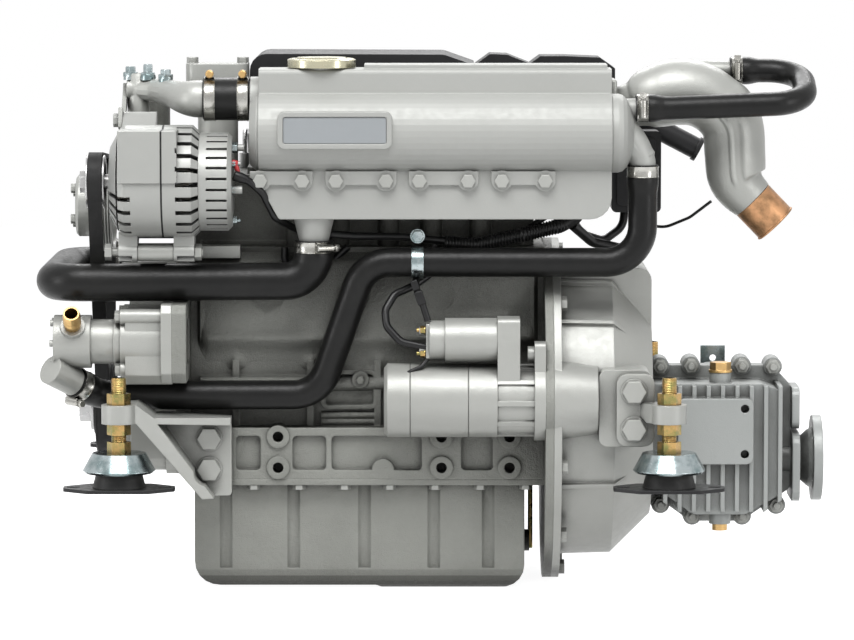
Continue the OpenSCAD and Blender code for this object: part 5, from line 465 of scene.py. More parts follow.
def settle(name, built, slot, body="engine", stands_for=(), sharp=35, finished=None, bends=None):
    """sharp is the angle from which an edge stays hard. With bends the piece stays where it is and rides on no
    body;
    the points in bends are not used."""
    bmesh.ops.recalc_face_normals(built, faces=built.faces)
    bmesh.ops.scale(built, vec=(MM, MM, MM), verts=built.verts)
    mesh = bpy.data.meshes.new(name)
    built.to_mesh(mesh)
    built.free()
    mesh.polygons.foreach_set("use_smooth", [True] * len(mesh.polygons))
    mesh.set_sharp_from_angle(angle=math.radians(sharp))
    piece = bpy.data.objects.new(name, mesh)
    bpy.context.scene.collection.objects.link(piece)
    mesh.materials.append(finished or FINISHES[slot])
    if bends:
        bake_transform(piece)
    else:
        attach(piece, body)
    if stands_for:
        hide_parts(*stands_for)
    print(name, len(mesh.vertices), "points")


# %% [markdown]
# ## Centre lines
# A hose is a round tube along a line. Its line is given by a few corners, as on a drawing, and each corner is
# rounded to the bend that the hose was moulded to. A cast bend has no straight runs, so its line is a smooth
# curve through its points instead. Even spacing afterwards keeps the rings of the mesh square.

# %% Lines for tubes


def distances(line):
    """How far each point lies along the line."""
    walked = [0.0]
    for a, b in zip(line, line[1:]):
        walked.append(walked[-1] + (b - a).length)
    return walked


def evenly(line, spacing):
    """The same line with points at an even spacing."""
    walked = distances(line)
    count = max(2, round(walked[-1] / spacing))
    points, k = [], 0
    for i in range(count + 1):
        at = walked[-1] * i / count
        while k < len(line) - 2 and walked[k + 1] < at:
            k += 1
        share = (at - walked[k]) / max(walked[k + 1] - walked[k], 1e-9)
        points.append(line[k].lerp(line[k + 1], min(max(share, 0), 1)))
    return points


def rounded_line(corners, bend, spacing, steps=12):
    """Straight runs between the corners, with each inner corner rounded. Two bends share the run between them,
    and a bend next to an end may use nearly all of its run."""
    shared, alone = 0.48, 0.95
    corners = [Vector(c) for c in corners]
    line = [corners[0]]
    for before, corner, after in zip(corners, corners[1:], corners[2:]):
        back, ahead = (before - corner), (after - corner)
        half = back.angle(ahead) / 2
        reach = min(bend / math.tan(half), (alone if corner == corners[1] else shared) * back.length,
                    (alone if corner == corners[-2] else shared) * ahead.length)
        radius = reach * math.tan(half)
        centre = corner + (back.normalized() + ahead.normalized()).normalized() * radius / math.sin(half)
        start = corner + back.normalized() * reach - centre
        axis = start.cross(corner + ahead.normalized() * reach - centre).normalized()
        for i in range(steps + 1):
            line.append(centre + Matrix.Rotation((math.pi - 2 * half) * i / steps, 3, axis) @ start)
    line.append(corners[-1])
    return evenly(line, spacing)


def through(points, steps=8):
    """A smooth curve that passes through every point, by the rule of Catmull and Rom."""
    points = [Vector(p) for p in points]
    padded = [2 * points[0] - points[1], *points, 2 * points[-1] - points[-2]]
    line = []
    for a, b, c, d in zip(padded, padded[1:], padded[2:], padded[3:]):
        for i in range(steps):
            t = i / steps
            line.append(0.5 * (2 * b + (c - a) * t + (2 * a - 5 * b + 4 * c - d) * t ** 2
                               + (3 * b - a - 3 * c + d) * t ** 3))
    return [*line, points[-1]]


# %% [markdown]
# ## Tubes
# The sweep carries a ring of points along the line. The ring's first spoke is kept from one step to the next and
# only straightened against the new direction, so the tube never twists. The radius may change along the way and
# round the ring, which gives hose ends, corrugations and raised bands from the same function.

# %% Sweep a tube


def skin(built, rings, closed=False):
    """Faces between each ring and the next, and with closed also from the last ring to the first."""
    pairs = zip(rings, rings[1:] + rings[:1]) if closed else zip(rings, rings[1:])
    for a, b in pairs:
        for k in range(len(a)):
            j = (k + 1) % len(a)
            built.faces.new((a[k], a[j], b[j], b[k]))


def capped(built, rings):
    """A skin over the rings, with both ends closed."""
    skin(built, rings)
    built.faces.new(rings[0])
    built.faces.new(rings[-1])


def sweep(built, line, radius, sides, wall=0.0):
    """Adds a tube. radius is a number, or a function of the distance from the start, the whole length and the
    spoke's direction. With a wall the tube is hollow."""
    run = distances(line)
    side = (line[1] - line[0]).orthogonal()
    outer, inner = [], []
    for i, point in enumerate(line):
        ahead = (line[min(i + 1, len(line) - 1)] - line[max(i - 1, 0)]).normalized()
        side = (side - ahead * side.dot(ahead)).normalized()
        up = ahead.cross(side)
        spokes = [side * math.cos(2 * math.pi * k / sides) + up * math.sin(2 * math.pi * k / sides)
                  for k in range(sides)]
        sizes = [radius(run[i], run[-1], s) if callable(radius) else radius for s in spokes]
        outer.append([built.verts.new(point + s * r) for s, r in zip(spokes, sizes)])
        if wall:
            inner.append([built.verts.new(point + s * (r - wall)) for s, r in zip(spokes, sizes)])
    if wall:
        skin(built, outer + inner[::-1], closed=True)
    else:
        capped(built, outer)


def eased(value, low, high):
    """0 below low and 1 above high, with a soft turn at each end."""
    t = min(max((value - low) / (high - low), 0), 1)
    return t * t * (3 - 2 * t)


def read_from(line, radii):
    """A function that gives the radius listed for the nearest point of the line."""
    run = distances(line)
    return lambda s: radii[min(range(len(run)), key=lambda i: abs(run[i] - s))].x


# %% [markdown]
# ## Rubber hoses
# The long hose brings sea water from its pump up to the rear cap of the heat exchanger. The wide one carries
# coolant from the heat exchanger round the front, the loop takes the used sea water to the exhaust, and a short
# straight one joins the tank to the water outlet. A moulded hose swells where it is pushed over its spigot, and
# the clamp nips it in again just behind the end.

# %% Hoses
TANK = Vector((-258.5, -150.0, 398.0))
RAW_OUT = Vector((-884, -166, 108))
HOSES = {
    "raw_water_hose": dict(r=17.0, bend=42, swell=1.6, line=[
        (-221.5, -150, 361), (-221.5, -150, 247), (-545, -150, 247), (-600, -134, 90), (-856, -140, 90), RAW_OUT]),
    "coolant_hose": dict(r=22.0, bend=34, swell=1.0, line=[
        (-604.95, -150, 273), (-604.95, -150, 225), (-908, -174, 225), (-908, 100, 225), (-845, 100, 225)]),
    "loop_hose": dict(r=14.0, bend=40, swell=2.4, line=[
        (-230.1, -150, 427), (-190.1, -150, 427), (-30, -144, 433), (-30, -50, 467), (-114.5, -50, 467)]),
    "thermostat_hose": dict(r=25.0, bend=0, swell=0.0, line=[(-734.5, -130, 437), (-680, -130, 437)]),
}
HOSE_WALL, SWELL_FROM, SWELL_TO = 3.5, 20, 36
CLAMP_INSET, NIP_FROM, NIP_TO = 8.0, 5.0, 8.5
LIP_ROUND, LIP_LEN = 0.8, 1.2


def hose_radius(r, swell):
    """Swollen near each end, nipped by 1 mm under the clamp, and rounded at the lip."""
    def size(s, whole, spoke):
        near_end = min(s, whole - s)
        grown = r + swell * (1 - eased(near_end, SWELL_FROM, SWELL_TO))
        nipped = 1 - eased(abs(near_end - CLAMP_INSET), NIP_FROM, NIP_TO)
        return grown - nipped * (swell > 0) - LIP_ROUND * (1 - eased(near_end, 0, LIP_LEN))
    return size


for name, hose in HOSES.items():
    built = bmesh.new()
    if hose["bend"]:
        line = rounded_line(hose["line"], hose["bend"], spacing=2.0)
    else:
        line = evenly([Vector(p) for p in hose["line"]], 1.0)
    sweep(built, line, hose_radius(hose["r"], hose["swell"]), sides=48, wall=HOSE_WALL)
    settle(name, built, "hose_rubber", stands_for=(name,), sharp=60)
    print(name, "is", round(distances(line)[-1]), "mm long")

# %% [markdown]
# ## Turned and boxed shapes
# Clamps, nuts and fittings are made of a few forms: a profile turned about an axis, a hexagon with its chamfered
# crown, a nut on its stud, and a block with rounded edges. Each is built round the origin and then put where its
# frame says.

# %% Turned and boxed shapes


def frame_at(place, axis=(1, 0, 0), side=(0, 0, 1)):
    """A turn and a place, with Z along the axis and X as near to side as it can be."""
    z = Vector(axis).normalized()
    x = (Vector(side) - z * z.dot(Vector(side))).normalized()
    y = z.cross(x)
    return Matrix((x, y, z)).transposed().to_4x4(), Vector(place)


def put(built, verts, where):
    """Turns and moves new points to their frame."""
    turn, place = where
    bmesh.ops.transform(built, matrix=Matrix.Translation(place) @ turn, verts=verts)


def turned(built, profile, where, sides=48, closed=False):
    """Turns a profile of (radius, height) pairs about Z. closed joins its last point to its first, as a ring."""
    rings = [[built.verts.new((r * math.cos(2 * math.pi * k / sides), r * math.sin(2 * math.pi * k / sides), h))
              for k in range(sides)] for r, h in profile]
    if closed:
        skin(built, rings, closed)
    else:
        capped(built, rings)
    put(built, [v for ring in rings for v in ring], where)


def hexagon(built, where, across, height, base=0.0):
    """A hexagon head with its chamfered crown."""
    r, crown_from, crown_r = across / math.sqrt(3), 0.86, 0.88
    turned(built, [(r, base), (r, base + height * crown_from), (r * crown_r, base + height)], where, sides=6)


def nut_on_stud(built, where, across, height, washer, stud, sides=28):
    """A washer of a radius and two heights, a nut on it, and a stud given by its profile."""
    r, low, high = washer
    turned(built, [(r, low), (r, high)], where, sides=sides)
    hexagon(built, where, across, height, base=high)
    turned(built, stud, where, sides=16)


def rounded_block(built, low, high, edge, where):
    """A box with rounded edges, given by two corners."""
    verts = bmesh.ops.create_cube(built, size=1)["verts"]
    low, high = Vector(low), Vector(high)
    size = high - low
    bmesh.ops.scale(built, vec=size, verts=verts)
    bmesh.ops.translate(built, vec=(low + high) / 2, verts=verts)
    edges = list({e for v in verts for e in v.link_edges})
    made = bmesh.ops.bevel(built, geom=edges, offset=edge, segments=3, profile=0.5, affect="EDGES")
    put(built, list({v for f in made["faces"] for v in f.verts} | {v for v in verts if v.is_valid}), where)


WORLD = (Matrix.Identity(4), Vector((0, 0, 0)))

# %% [markdown]
# ## Band clamps
# A worm clamp is a thin steel band with rolled edges, so that it doesn't cut the rubber. A screw in a pressed
# housing engages slots in the band's tail. The band is a closed outline carried round the axis, and the housing
# stands where a screwdriver reaches its screw.

# %% Worm clamps
BAND_W, BAND_T, ROLLED_T = 12.0, 0.8, 1.5
SCREW_HALF, SCREW_OFF = 11.0, 4.4


def worm_clamp(built, head, place, axis, housing, hose_r):
    """Adds the band and housing to one mesh and the screw's head to another, which may differ in metal."""
    where = frame_at(place, axis, housing)
    r, half = hose_r, BAND_W / 2
    turned(built, [(r, -half), (r, half), (r + ROLLED_T, half + 0.3), (r + BAND_T, half - 1.2),
                   (r + BAND_T, 1.2 - half), (r + ROLLED_T, -half - 0.3)], where, sides=72, closed=True)
    rounded_block(built, (r + 0.2, -SCREW_HALF, -half + 1), (r + 3.6, SCREW_HALF, half - 1), 1.0, where)
    turn, middle = where
    screw = (turn @ Matrix.Rotation(math.radians(90), 4, "X"), middle + turn @ Vector((r + SCREW_OFF, 0, 0)))
    turned(built, [(3.4, -SCREW_HALF), (4.4, 1 - SCREW_HALF), (4.4, SCREW_HALF - 1), (3.4, SCREW_HALF)], screw,
           sides=20)
    turned(head, [(2.6, SCREW_HALF - 1), (2.6, SCREW_HALF + 2)], screw, sides=16)
    turned(head, [(4.9, SCREW_HALF + 2), (4.9, SCREW_HALF + 3)], screw, sides=20)
    hexagon(head, screw, 8.0, 5.0, base=SCREW_HALF + 3)


# each clamp: its middle, its axis, the side its housing is on, and the hose's radius there
spot = RAW_OUT + CLAMP_INSET * (Vector((-856, -140, 90)) - RAW_OUT).normalized()
CLAMPS = [
    ((-222.1, -150, 427), (1, 0, 0), (0, -1, 0), 15.3),
    ((-106.5, -50, 467), (1, 0, 0), (0, -1, 0), 15.3),
    ((-221.5, -150, 353), (0, 0, 1), (0, 1, 0), 17.5),
    ((-604.95, -150, 265), (0, 0, -1), (0.5, -0.87, 0), 21.9),
    ((-853, 100, 225), (1, 0, 0), (0, 0, 1), 21.9),
    (spot, Vector((28, 26, -18)), (-0.5, -0.4, -0.75), 17.5),
]
built = bmesh.new()
for place, axis, housing, hose_r in CLAMPS:
    worm_clamp(built, built, place, axis, housing, hose_r)
settle("worm_clamps", built, "stainless", stands_for=("hose_clamps",))

# on the thermostat hose the screws are brass coloured
built, heads = bmesh.new(), bmesh.new()
for x in (-726.5, -688.0):
    worm_clamp(built, heads, (x, -130, 437), (-1, 0, 0), (0, 0, 1), 25.0)
settle("thermostat_clamps", built, "stainless")
settle("thermostat_clamp_screws", heads, "brass")

# %% [markdown]
# ## Clip that holds the long hose
# A zinc plated strip is bent round the long hose and bolted under the heat exchanger. It is the same kind of
# ring as a band clamp, with a straight tab that runs up to its bolt.

# %% Hose clip
CLIP_X, CLIP_Y, CLIP_Z, CLIP_R, CLIP_HALF_W, CLIP_T = -484.0, -150.0, 247.0, 17.2, 7.0, 1.8
BOLT_ABOVE, TAB_FROM = 31, 17.5
TAB_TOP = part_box("heat_exchanger")[0][2] / MM

built = bmesh.new()
where = frame_at((CLIP_X, CLIP_Y, CLIP_Z))
turned(built, [(CLIP_R, -CLIP_HALF_W), (CLIP_R, CLIP_HALF_W), (CLIP_R + CLIP_T, CLIP_HALF_W),
               (CLIP_R + CLIP_T, -CLIP_HALF_W)], where, sides=72, closed=True)
rounded_block(built, (CLIP_X - CLIP_HALF_W, CLIP_Y - 2 * CLIP_T, CLIP_Z + TAB_FROM),
              (CLIP_X + CLIP_HALF_W, CLIP_Y, TAB_TOP + 1), 0.6, WORLD)
where = frame_at((CLIP_X, CLIP_Y - 2 * CLIP_T, CLIP_Z + BOLT_ABOVE), (0, -1, 0), (1, 0, 0))
hexagon(built, where, 13, 6)
turned(built, [(8.5, 0), (8.5, 1.4)], where)
settle("hose_clip", built, "bright_zinc")

# %% [markdown]
# ## Exhaust elbow
# The elbow is one casting: a wide hood over the gas passage that turns down to the silencer, with a raised water
# jacket on its outer side, a spigot for the loop hose and a thick flange. It is swept along a smooth curve that
# keeps to the solid's line, and the radius grows a little on the side where the jacket stands proud.

# %% Elbow
# each point: its place from the tank's end, and the radius there
ELBOW = [(1, 79, 26, 24), (16, 78, 27, 25), (31, 75, 31, 27.5), (44, 72, 36, 34.5), (60, 71, 41, 37.5),
         (80, 70, 45, 39), (100, 70, 43.5, 38.5), (118, 70, 36, 37.5), (134, 70, 22, 36),
         (144.5, 70, 2, 34.5), (147, 70, -28, 34), (149, 70, -53, 33), (156, 70, -68, 30), (169.5, 70, -82, 26.5)]
ELBOW_WALL, JACKET_PROUD, JACKET_EDGE, JACKET_TURN = 4.0, 3.6, 80.0, 5.0
SEAM_PROUD, SEAM_ASIDE = 2.2, 17.0
JACKET_STARTS, JACKET_ENDS = (0.50, 0.56), (0.875, 0.905)
FLANGE_T, FLANGE_HALF, FLANGE_SHORT, FLANGE_EDGE = 9, 34, 24, 3.0
elbow_curve = through([TANK + Vector(p[:3]) for p in ELBOW])
elbow_r = read_from(elbow_curve, through([(p[3], 0, 0) for p in ELBOW]))


def elbow_size(s, whole, spoke):
    out = math.degrees(math.atan2(-spoke.y, spoke.x))
    low = eased(s, *(share * whole for share in JACKET_STARTS))
    low *= 1 - eased(s, *(share * whole for share in JACKET_ENDS))
    jacket = JACKET_PROUD * (1 - eased(abs(out), JACKET_EDGE - JACKET_TURN, JACKET_EDGE))
    seam = SEAM_PROUD * (1 - eased(abs(out - JACKET_EDGE - SEAM_ASIDE), 1.0, 6.0))
    return elbow_r(s) + low * (jacket + seam)


built = bmesh.new()
sweep(built, elbow_curve, elbow_size, sides=144, wall=ELBOW_WALL)
seat = TANK + Vector((0, 79, 26))
rounded_block(built, (TANK.x, seat.y - FLANGE_SHORT, seat.z - FLANGE_HALF),
              (TANK.x + FLANGE_T, seat.y + FLANGE_HALF, seat.z + FLANGE_HALF), FLANGE_EDGE, WORLD)
boss = frame_at(TANK + Vector((96, 100, 57)))
turned(built, [(14.4, 0), (14.4, 40), (13.4, 42), (11.5, 42.5)], boss)
spigot = frame_at(TANK + Vector((108, 100, 69)))
turned(built, [(12.4, 0), (11.6, 36), (11.3, 58), (12.0, 60), (11.0, 62)], spigot)
settle("exhaust_elbow_cast", built, "silver_paint", stands_for=("exhaust_elbow",), sharp=50)

# %% [markdown]
# ## Copper tail
# The tail that the exhaust hose slides over is copper tube with a rolled bead at its lip. Heat has stained it.
# Only the bead is added here, because the straight tube is already right as a solid.

# %% Tail bead
TAIL_FROM, TAIL_DIR = Vector((-89, -80, 316)), Vector((13.5, 0, -14)).normalized()
TAIL_LEN, TAIL_R, BEAD_R, BEAD_SIDES = 38.9, 26.0, 1.3, 12
around = [2 * math.pi * k / BEAD_SIDES for k in range(BEAD_SIDES)]
built = bmesh.new()
where = frame_at(TAIL_FROM + TAIL_LEN * TAIL_DIR, TAIL_DIR, (0, 1, 0))
turned(built, [(TAIL_R + BEAD_R * math.cos(a), BEAD_R * math.sin(a)) for a in around], where, sides=72, closed=True)
settle("tail_bead", built, "copper")

# %% [markdown]
# ## Water outlet
# The outlet crosses the front of the engine from the thermostat to the hose. It is a thin aluminium casting that
# widens towards the hose, with a plug and two temperature senders on top. A smooth skin lies just over the
# many-sided pipe of the solid, and the senders are turned shapes with hexagons.

# %% Water outlet
OUTLET = [(-827, -48, 445, 13), (-813, -50, 445, 13), (-792, -64, 444, 13.5), (-772, -90, 441, 16),
          (-757, -114, 438, 19), (-744, -130, 437, 21.2), (-730, -130, 437, 21.2)]
SKIN = 0.25
outlet_line = through([p[:3] for p in OUTLET])
outlet_r = read_from(outlet_line, through([(p[3], 0, 0) for p in OUTLET]))

built = bmesh.new()
sweep(built, outlet_line, lambda s, whole, spoke: outlet_r(s) + SKIN, sides=56)
where = frame_at((-815, -48, 445), (0, 0, 1), (1, 0, 0))
turned(built, [(13.2, -30), (13.2, 17), (11.5, 19), (0.5, 19.2)], where)
settle("water_outlet_skin", built, "silver_paint", sharp=60)

# each sender: its place, the radius of its flange, the width of its hexagon and its height
SENDERS = (((-824, -50, 456), 9.5, 13, 9), ((-803, -58, 456), 10.5, 12, 12), ((-781, -78, 454.5), 9.5, 13, 8))
built = bmesh.new()
for place, flange, across, height in SENDERS:
    where = frame_at(place, (0, 0, 1), (1, 0.4, 0))
    turned(built, [(flange - 1, 0), (flange - 1, 4), (flange - 2, 7), (0.5, 7.2)], where, sides=32)
    hexagon(built, where, across + 3, 5.5, base=4)
    hexagon(built, where, across - 2, height, base=7)
settle("outlet_senders", built, "bright_zinc")

# %% [markdown]
# ## Wires and cables
# The corrugated loom is a slit plastic tube whose rings let it bend. Its radius rises and falls along its
# length. The cables and the fuel pipe are plain tubes. The heavy cable feeds the starter, and the others run
# between the relay box, the alternator and the loom. They are fixed at both ends, so none of them is a free cord.
# The alternator swings to tighten the belt, but its cable rides on no body and keeps its place.

# %% Loom and cables
LOOM_R, LOOM_PITCH, LOOM_GROOVE, LOOM_EDGE = 9.0, 3.6, 1.5, 0.6
LOOM = [(-452, -128, 268), (-414, -130, 266), (-360, -128, 278), (-318, -116, 287), (-298, -84, 296),
        (-286, -20, 316), (-253.3, -20, 316)]


def loom_size(s, whole, spoke):
    wave = 0.5 + 0.5 * math.cos(2 * math.pi * s / LOOM_PITCH)
    return LOOM_R - LOOM_GROOVE * wave ** LOOM_EDGE


built = bmesh.new()
sweep(built, rounded_line(LOOM, 22, spacing=LOOM_PITCH / 6), loom_size, sides=24)
settle("corrugated_loom", built, "wire_plastic", stands_for=("wiring",), sharp=70)

# each cable: its radius, the radius of its bends, and its corners
CABLES = {
    "starter_cable": (4.6, 16, [(-474, -180, 150), (-503, -180, 156), (-520, -174, 174), (-522, -166, 192),
                                (-511, -156, 210), (-488, -142, 219), (-458, -124, 240), (-446, -126, 266)]),
    "solenoid_cable": (4.0, 10, [(-472, -180, 181), (-478, -180, 200), (-485, -174, 217), (-486, -146, 224),
                                 (-482, -124, 240), (-462, -126, 266)]),
    "motor_strap": (2.4, 8, [(-472, -182, 137), (-480, -188, 128), (-494, -190, 122), (-505, -186, 112)]),
    "sensor_wire": (1.8, 34, [(-222, -5, 296.7), (-216, -8, 281), (-188, -20, 279), (-160, -36, 292),
                              (-136, -52, 312)]),
    "alternator_cable": (4.4, 14, [(-689, -186, 350), (-678, -184, 343), (-664, -178, 330), (-650, -160, 300),
                                   (-622, -128, 282), (-560, -122, 276), (-500, -124, 275), (-448, -126, 270)]),
    "relay_cable": (6.0, 22, [(-206, 4, 298), (-206, 0, 272), (-238, -8, 252), (-276, -30, 262), (-300, -60, 284)]),
    "relay_cable_low": (5.0, 22, [(-236, 10, 298), (-238, 6, 278), (-262, -10, 262), (-288, -40, 272),
                                  (-302, -66, 292)]),
    "loom_branch": (4.0, 12, [(-352, -120, 286), (-330, -104, 300), (-312, -76, 296), (-300, -40, 300),
                              (-256, -26, 330)]),
    "fuel_pipe": (4.2, 16, [(-640, -118, 262), (-640, -122, 236), (-600, -112, 232), (-566, -110, 262)]),
}
BENDS = {"alternator_cable": [Vector((-650, -160, 300)) * MM, Vector((-689, -186, 350)) * MM]}
for name, (r, bend, turns) in CABLES.items():
    built = bmesh.new()
    sweep(built, rounded_line(turns, bend, spacing=2.0), r, sides=20)
    settle(name, built, "wire_plastic", bends=BENDS.get(name))

# %% [markdown]
# ## Terminals of the starter
# The solenoid's two studs carry the heavy cables. Each has a yellow plated nut on a washer. The small plug on
# the thinner cable is two moulded blocks, one a little narrower than the other.

# %% Starter terminals
built = bmesh.new()
for z in (170.3, 143.2):
    where = frame_at((-476, -181, z), (-1, 0, 0), (0, 0, 1))
    nut_on_stud(built, where, 9, 4.5, (5.2, -1, 0.4), [(2.4, 0), (2.4, 9)], sides=24)
settle("solenoid_nuts", built, "yellow_zinc")

built = bmesh.new()
rounded_block(built, (-5, -4, -8), (5, 4, 8), 1.2, frame_at((-481, -181, 208), (-0.35, 0, 1), (1, 0, 0)))
rounded_block(built, (-4, -3.4, -6), (4, 3.4, 6), 1.0, frame_at((-487, -176, 222), (-0.35, 0, 1), (1, 0, 0)))
settle("cable_connector", built, "wire_plastic")

# %% [markdown]
# ## Terminals of the alternator
# A cable ends in a soldered lug under a nut, covered by a moulded boot. The boot on the alternator's main stud
# is red, the usual colour for the battery side. The nuts are zinc plated, and all of them swing with the
# alternator.

# %% Boots and nuts
red_vinyl = finish("red vinyl", (0.50, 0.018, 0.022), (0.36, 0.012, 0.016), 0.32, coat=0.3, painted_shade_amount=0.2,
                   radius=0.0008)
built = bmesh.new()
boot = frame_at((-700, -182, 365), (1, 0, -0.1), (0, 0, 1))
turned(built, [(3.4, 0), (4.1, 1.2), (3.9, 6), (3.0, 8), (1.2, 8.6)], boot, sides=28)
sleeve = frame_at((-695, -182, 364), (0.3, 0, -1), (0, 1, 0))
turned(built, [(2.6, 0), (3.3, 1.5), (2.8, 8), (2.2, 11)], sleeve, sides=24)
settle("alternator_boot", built, "wire_plastic", body="alternator", finished=red_vinyl)

built = bmesh.new()
boot = frame_at((-697, -186, 351), (1, 0, -0.35), (0, 0, 1))
turned(built, [(4.4, 0), (6.0, 1.5), (6.0, 10), (5.0, 15), (4.7, 17)], boot, sides=28)
settle("alternator_boot_low", built, "wire_plastic", body="alternator")

# each nut: its place, its width and its height
ALTERNATOR_NUTS = (((-700, -170, 382), 11, 6), ((-700, -182, 364), 8, 4), ((-700, -186, 334), 9, 5),
                   ((-699.5, -150, 296), 8, 4))
WASHER_SHARE, WASHER_T, STUD_SHARE, STUD_PAST = 0.72, 1.2, 0.24, 5
built = bmesh.new()
for place, across, height in ALTERNATOR_NUTS:
    where, stud_r = frame_at(place), across * STUD_SHARE
    nut_on_stud(built, where, across, height, (across * WASHER_SHARE, 0, WASHER_T),
                [(stud_r, 0), (stud_r, height + STUD_PAST)])
settle("alternator_nuts", built, "bright_zinc", body="alternator")

# %% [markdown]
# ## Stator windings
# Through the slots of the alternator show the ends of its windings, coils that lean round the laminated ring.
# Each visible loop is one short bent tube, repeated round the ring with the lean alternating between two layers.

# %% Stator windings
ALT_Y, ALT_Z = -162.0, 342.0
COILS, COIL_R, LEAN, COIL_STEPS = 60, 2.0, 0.11, (0, 0.33, 0.67, 1)
LAYER_RS, DRAWN_IN = (56.0, 53.0), 3
built = bmesh.new()
for low, high in ((-829, -805), (-765, -743)):
    for k in range(COILS):
        lean = LEAN if k % 2 else -LEAN
        points = []
        for t in COIL_STEPS:
            a = 2 * math.pi * k / COILS + lean * (t - 0.5)
            r = LAYER_RS[k % 2] - DRAWN_IN * t * t
            points.append(Vector((low + (high - low) * t, ALT_Y + r * math.cos(a), ALT_Z + r * math.sin(a))))
        sweep(built, points, COIL_R, sides=8)
settle("stator_windings", built, "copper", body="alternator", finished=sprayed_wire)

built = bmesh.new()
where = frame_at((-803, ALT_Y, ALT_Z))
turned(built, [(50, 0), (60.5, 0), (60.5, 36), (50, 36)], where, sides=96, closed=True)
settle("stator_core", built, "bare_iron", body="alternator")

# %% [markdown]
# ## Threads
# The mount studs are threaded, and the thread is made only where it shows. It is a sleeve whose radius follows a
# triangle wave that climbs one pitch for each turn, which is exactly what a screw thread is.

# %% Stud threads
PITCH, THREAD_DEEP, STUD_R, THREAD_OVER = 2.0, 0.9, 8.0, 0.05
END_ROUND, END_LEN = 1.4, 1.2


def threaded(built, x, y, low, high, sides=28, steps=6):
    """Adds a thread from low to high, with steps rings to each pitch."""
    rings = []
    count = int((high - low) / PITCH * steps)
    for i in range(count + 1):
        z = low + (high - low) * i / count
        ring = []
        for k in range(sides):
            phase = (z / PITCH - k / sides) % 1.0
            size = STUD_R + THREAD_OVER + THREAD_DEEP * abs(2 * phase - 1)
            size -= END_ROUND * eased(z, high - END_LEN, high)
            angle = 2 * math.pi * k / sides
            ring.append(built.verts.new((x + size * math.cos(angle), y + size * math.sin(angle), z)))
        rings.append(ring)
    capped(built, rings)


built = bmesh.new()
for x in (-829, -193):
    for y in (-225, 225):
        for low, high in ((101.2, 119.0), (45.2, 52.8)):
            threaded(built, x, y, low, high)
settle("stud_threads", built, "yellow_zinc", sharp=80)

# %% [markdown]
# ## Nuts on the timing case
# Long studs hold the sea water pump and the case together, and their nuts show behind the case's square corner.

# %% Nuts behind the case
CASE_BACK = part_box("timing_case")[1][0] / MM
built = bmesh.new()
for y, z in ((-193, 187), (-189, 125)):
    nut_on_stud(built, frame_at((CASE_BACK, y, z)), 12, 7, (8, 0, 1.4), [(3.6, 0), (3.6, 16), (3.0, 17)])
settle("case_nuts", built, "bright_zinc")

# %% [markdown]
# ## Cast side of the block
# A block's side isn't flat: the water jacket bulges over each cylinder, and sand casting leaves round fillets in
# every corner. A grid of points is laid on the solid by casting rays at it. Averaging each point with its
# neighbours, but never below the solid, fills the corners with fillets. The bulges are then added on top.

# %% Cast side
block = NODES["engine_block"]
solid = BVHTree.FromPolygons([block.matrix_world @ v.co for v in block.data.vertices],
                             [tuple(p.vertices) for p in block.data.polygons])
CAST_X, CAST_Z, CAST_STEP = (-744.0, -342.0), (116.0, 258.0), 3.0
FILLET_ROUNDS, BORDER, SUNK, BULGE_RISE = 10, 15, 0.8, 30
CAST_FROM_Y, NO_WALL = -0.4, 100.0
CYLINDERS, JACKET_BULGE, ROLL, ROLL_Z, ROLL_HALF = 4, 3.2, 4.5, 150.0, 13.0
columns = round((CAST_X[1] - CAST_X[0]) / CAST_STEP) + 1
rows = round((CAST_Z[1] - CAST_Z[0]) / CAST_STEP) + 1


def wall_at(x, z):
    """How far the solid's side stands out towards the camera, in millimetres."""
    hit = solid.ray_cast(Vector((x * MM, CAST_FROM_Y, z * MM)), Vector((0, 1, 0)))[0]
    return -hit.y / MM if hit else NO_WALL


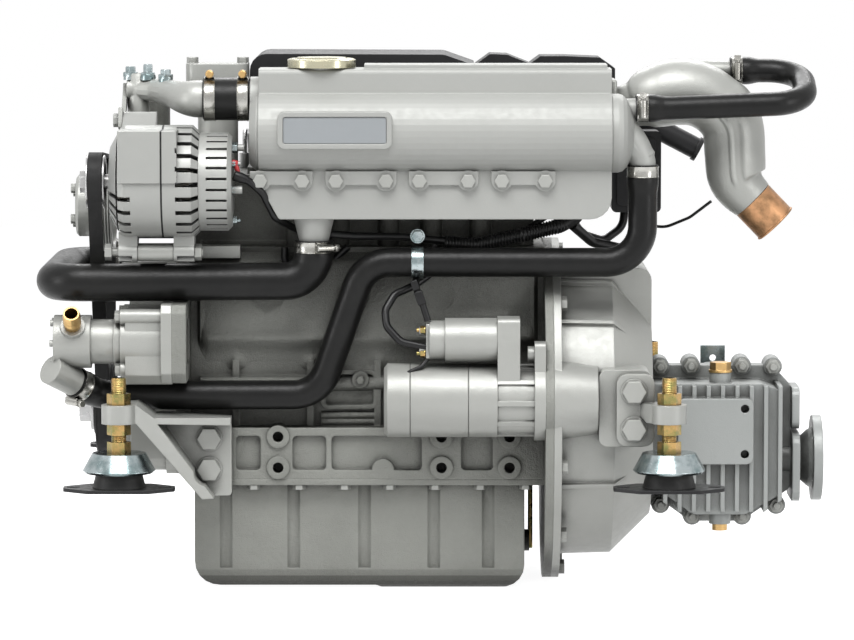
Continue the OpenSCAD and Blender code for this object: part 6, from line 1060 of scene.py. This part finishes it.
height = [[wall_at(CAST_X[0] + CAST_STEP * i, CAST_Z[0] + CAST_STEP * k) for i in range(columns)]
          for k in range(rows)]
first = [row[:] for row in height]
for _ in range(FILLET_ROUNDS):
    before = [row[:] for row in height]
    for k in range(1, rows - 1):
        for i in range(1, columns - 1):
            mean = (before[k][i - 1] + before[k][i + 1] + before[k - 1][i] + before[k + 1][i]) / 4
            height[k][i] = max(first[k][i], mean)
built = bmesh.new()
grid = []
for k in range(rows):
    z = CAST_Z[0] + CAST_STEP * k
    line = []
    for i in range(columns):
        x = CAST_X[0] + CAST_STEP * i
        border = min(i, columns - 1 - i, k, rows - 1 - k) * CAST_STEP
        inside = eased(border, 0, BORDER)
        share = (x - CAST_X[0]) / (CAST_X[1] - CAST_X[0]) * CYLINDERS % 1.0
        bulge = JACKET_BULGE * math.sin(math.pi * share) ** 2 * eased(z, ROLL_Z, ROLL_Z + BULGE_RISE)
        roll = ROLL * math.exp(-((z - ROLL_Z) / ROLL_HALF) ** 2)
        out = height[k][i] + inside * (bulge + roll) - SUNK * (1 - inside)
        line.append(built.verts.new((x, -out, z)))
    grid.append(line)
for a, b in zip(grid, grid[1:]):
    for i in range(columns - 1):
        built.faces.new((a[i], a[i + 1], b[i + 1], b[i]))
settle("block_cast_side", built, "engine_paint", sharp=70)

# %% [markdown]
# ## Bend under the heat exchanger's cap
# The cap's outlet turns down into the hose. On the solid it has flat sides, and here it is swept as a smooth
# casting that just covers them.

# %% Cap bend
CAP_BEND = [(-252, -150, 402, 17), (-238, -150, 392, 18.5), (-228, -150, 378, 17.5), (-222.5, -150, 366, 15.8),
            (-221.5, -150, 354, 15.0)]
bend_line = through([p[:3] for p in CAP_BEND])
bend_radii = through([(p[3], 0, 0) for p in CAP_BEND])


def bend_size(s, whole, spoke):
    """The listed radii, spread evenly over the length."""
    return bend_radii[round(s / whole * (len(bend_radii) - 1))].x


built = bmesh.new()
sweep(built, bend_line, bend_size, sides=48)
settle("cap_bend", built, "tank_paint", sharp=60)
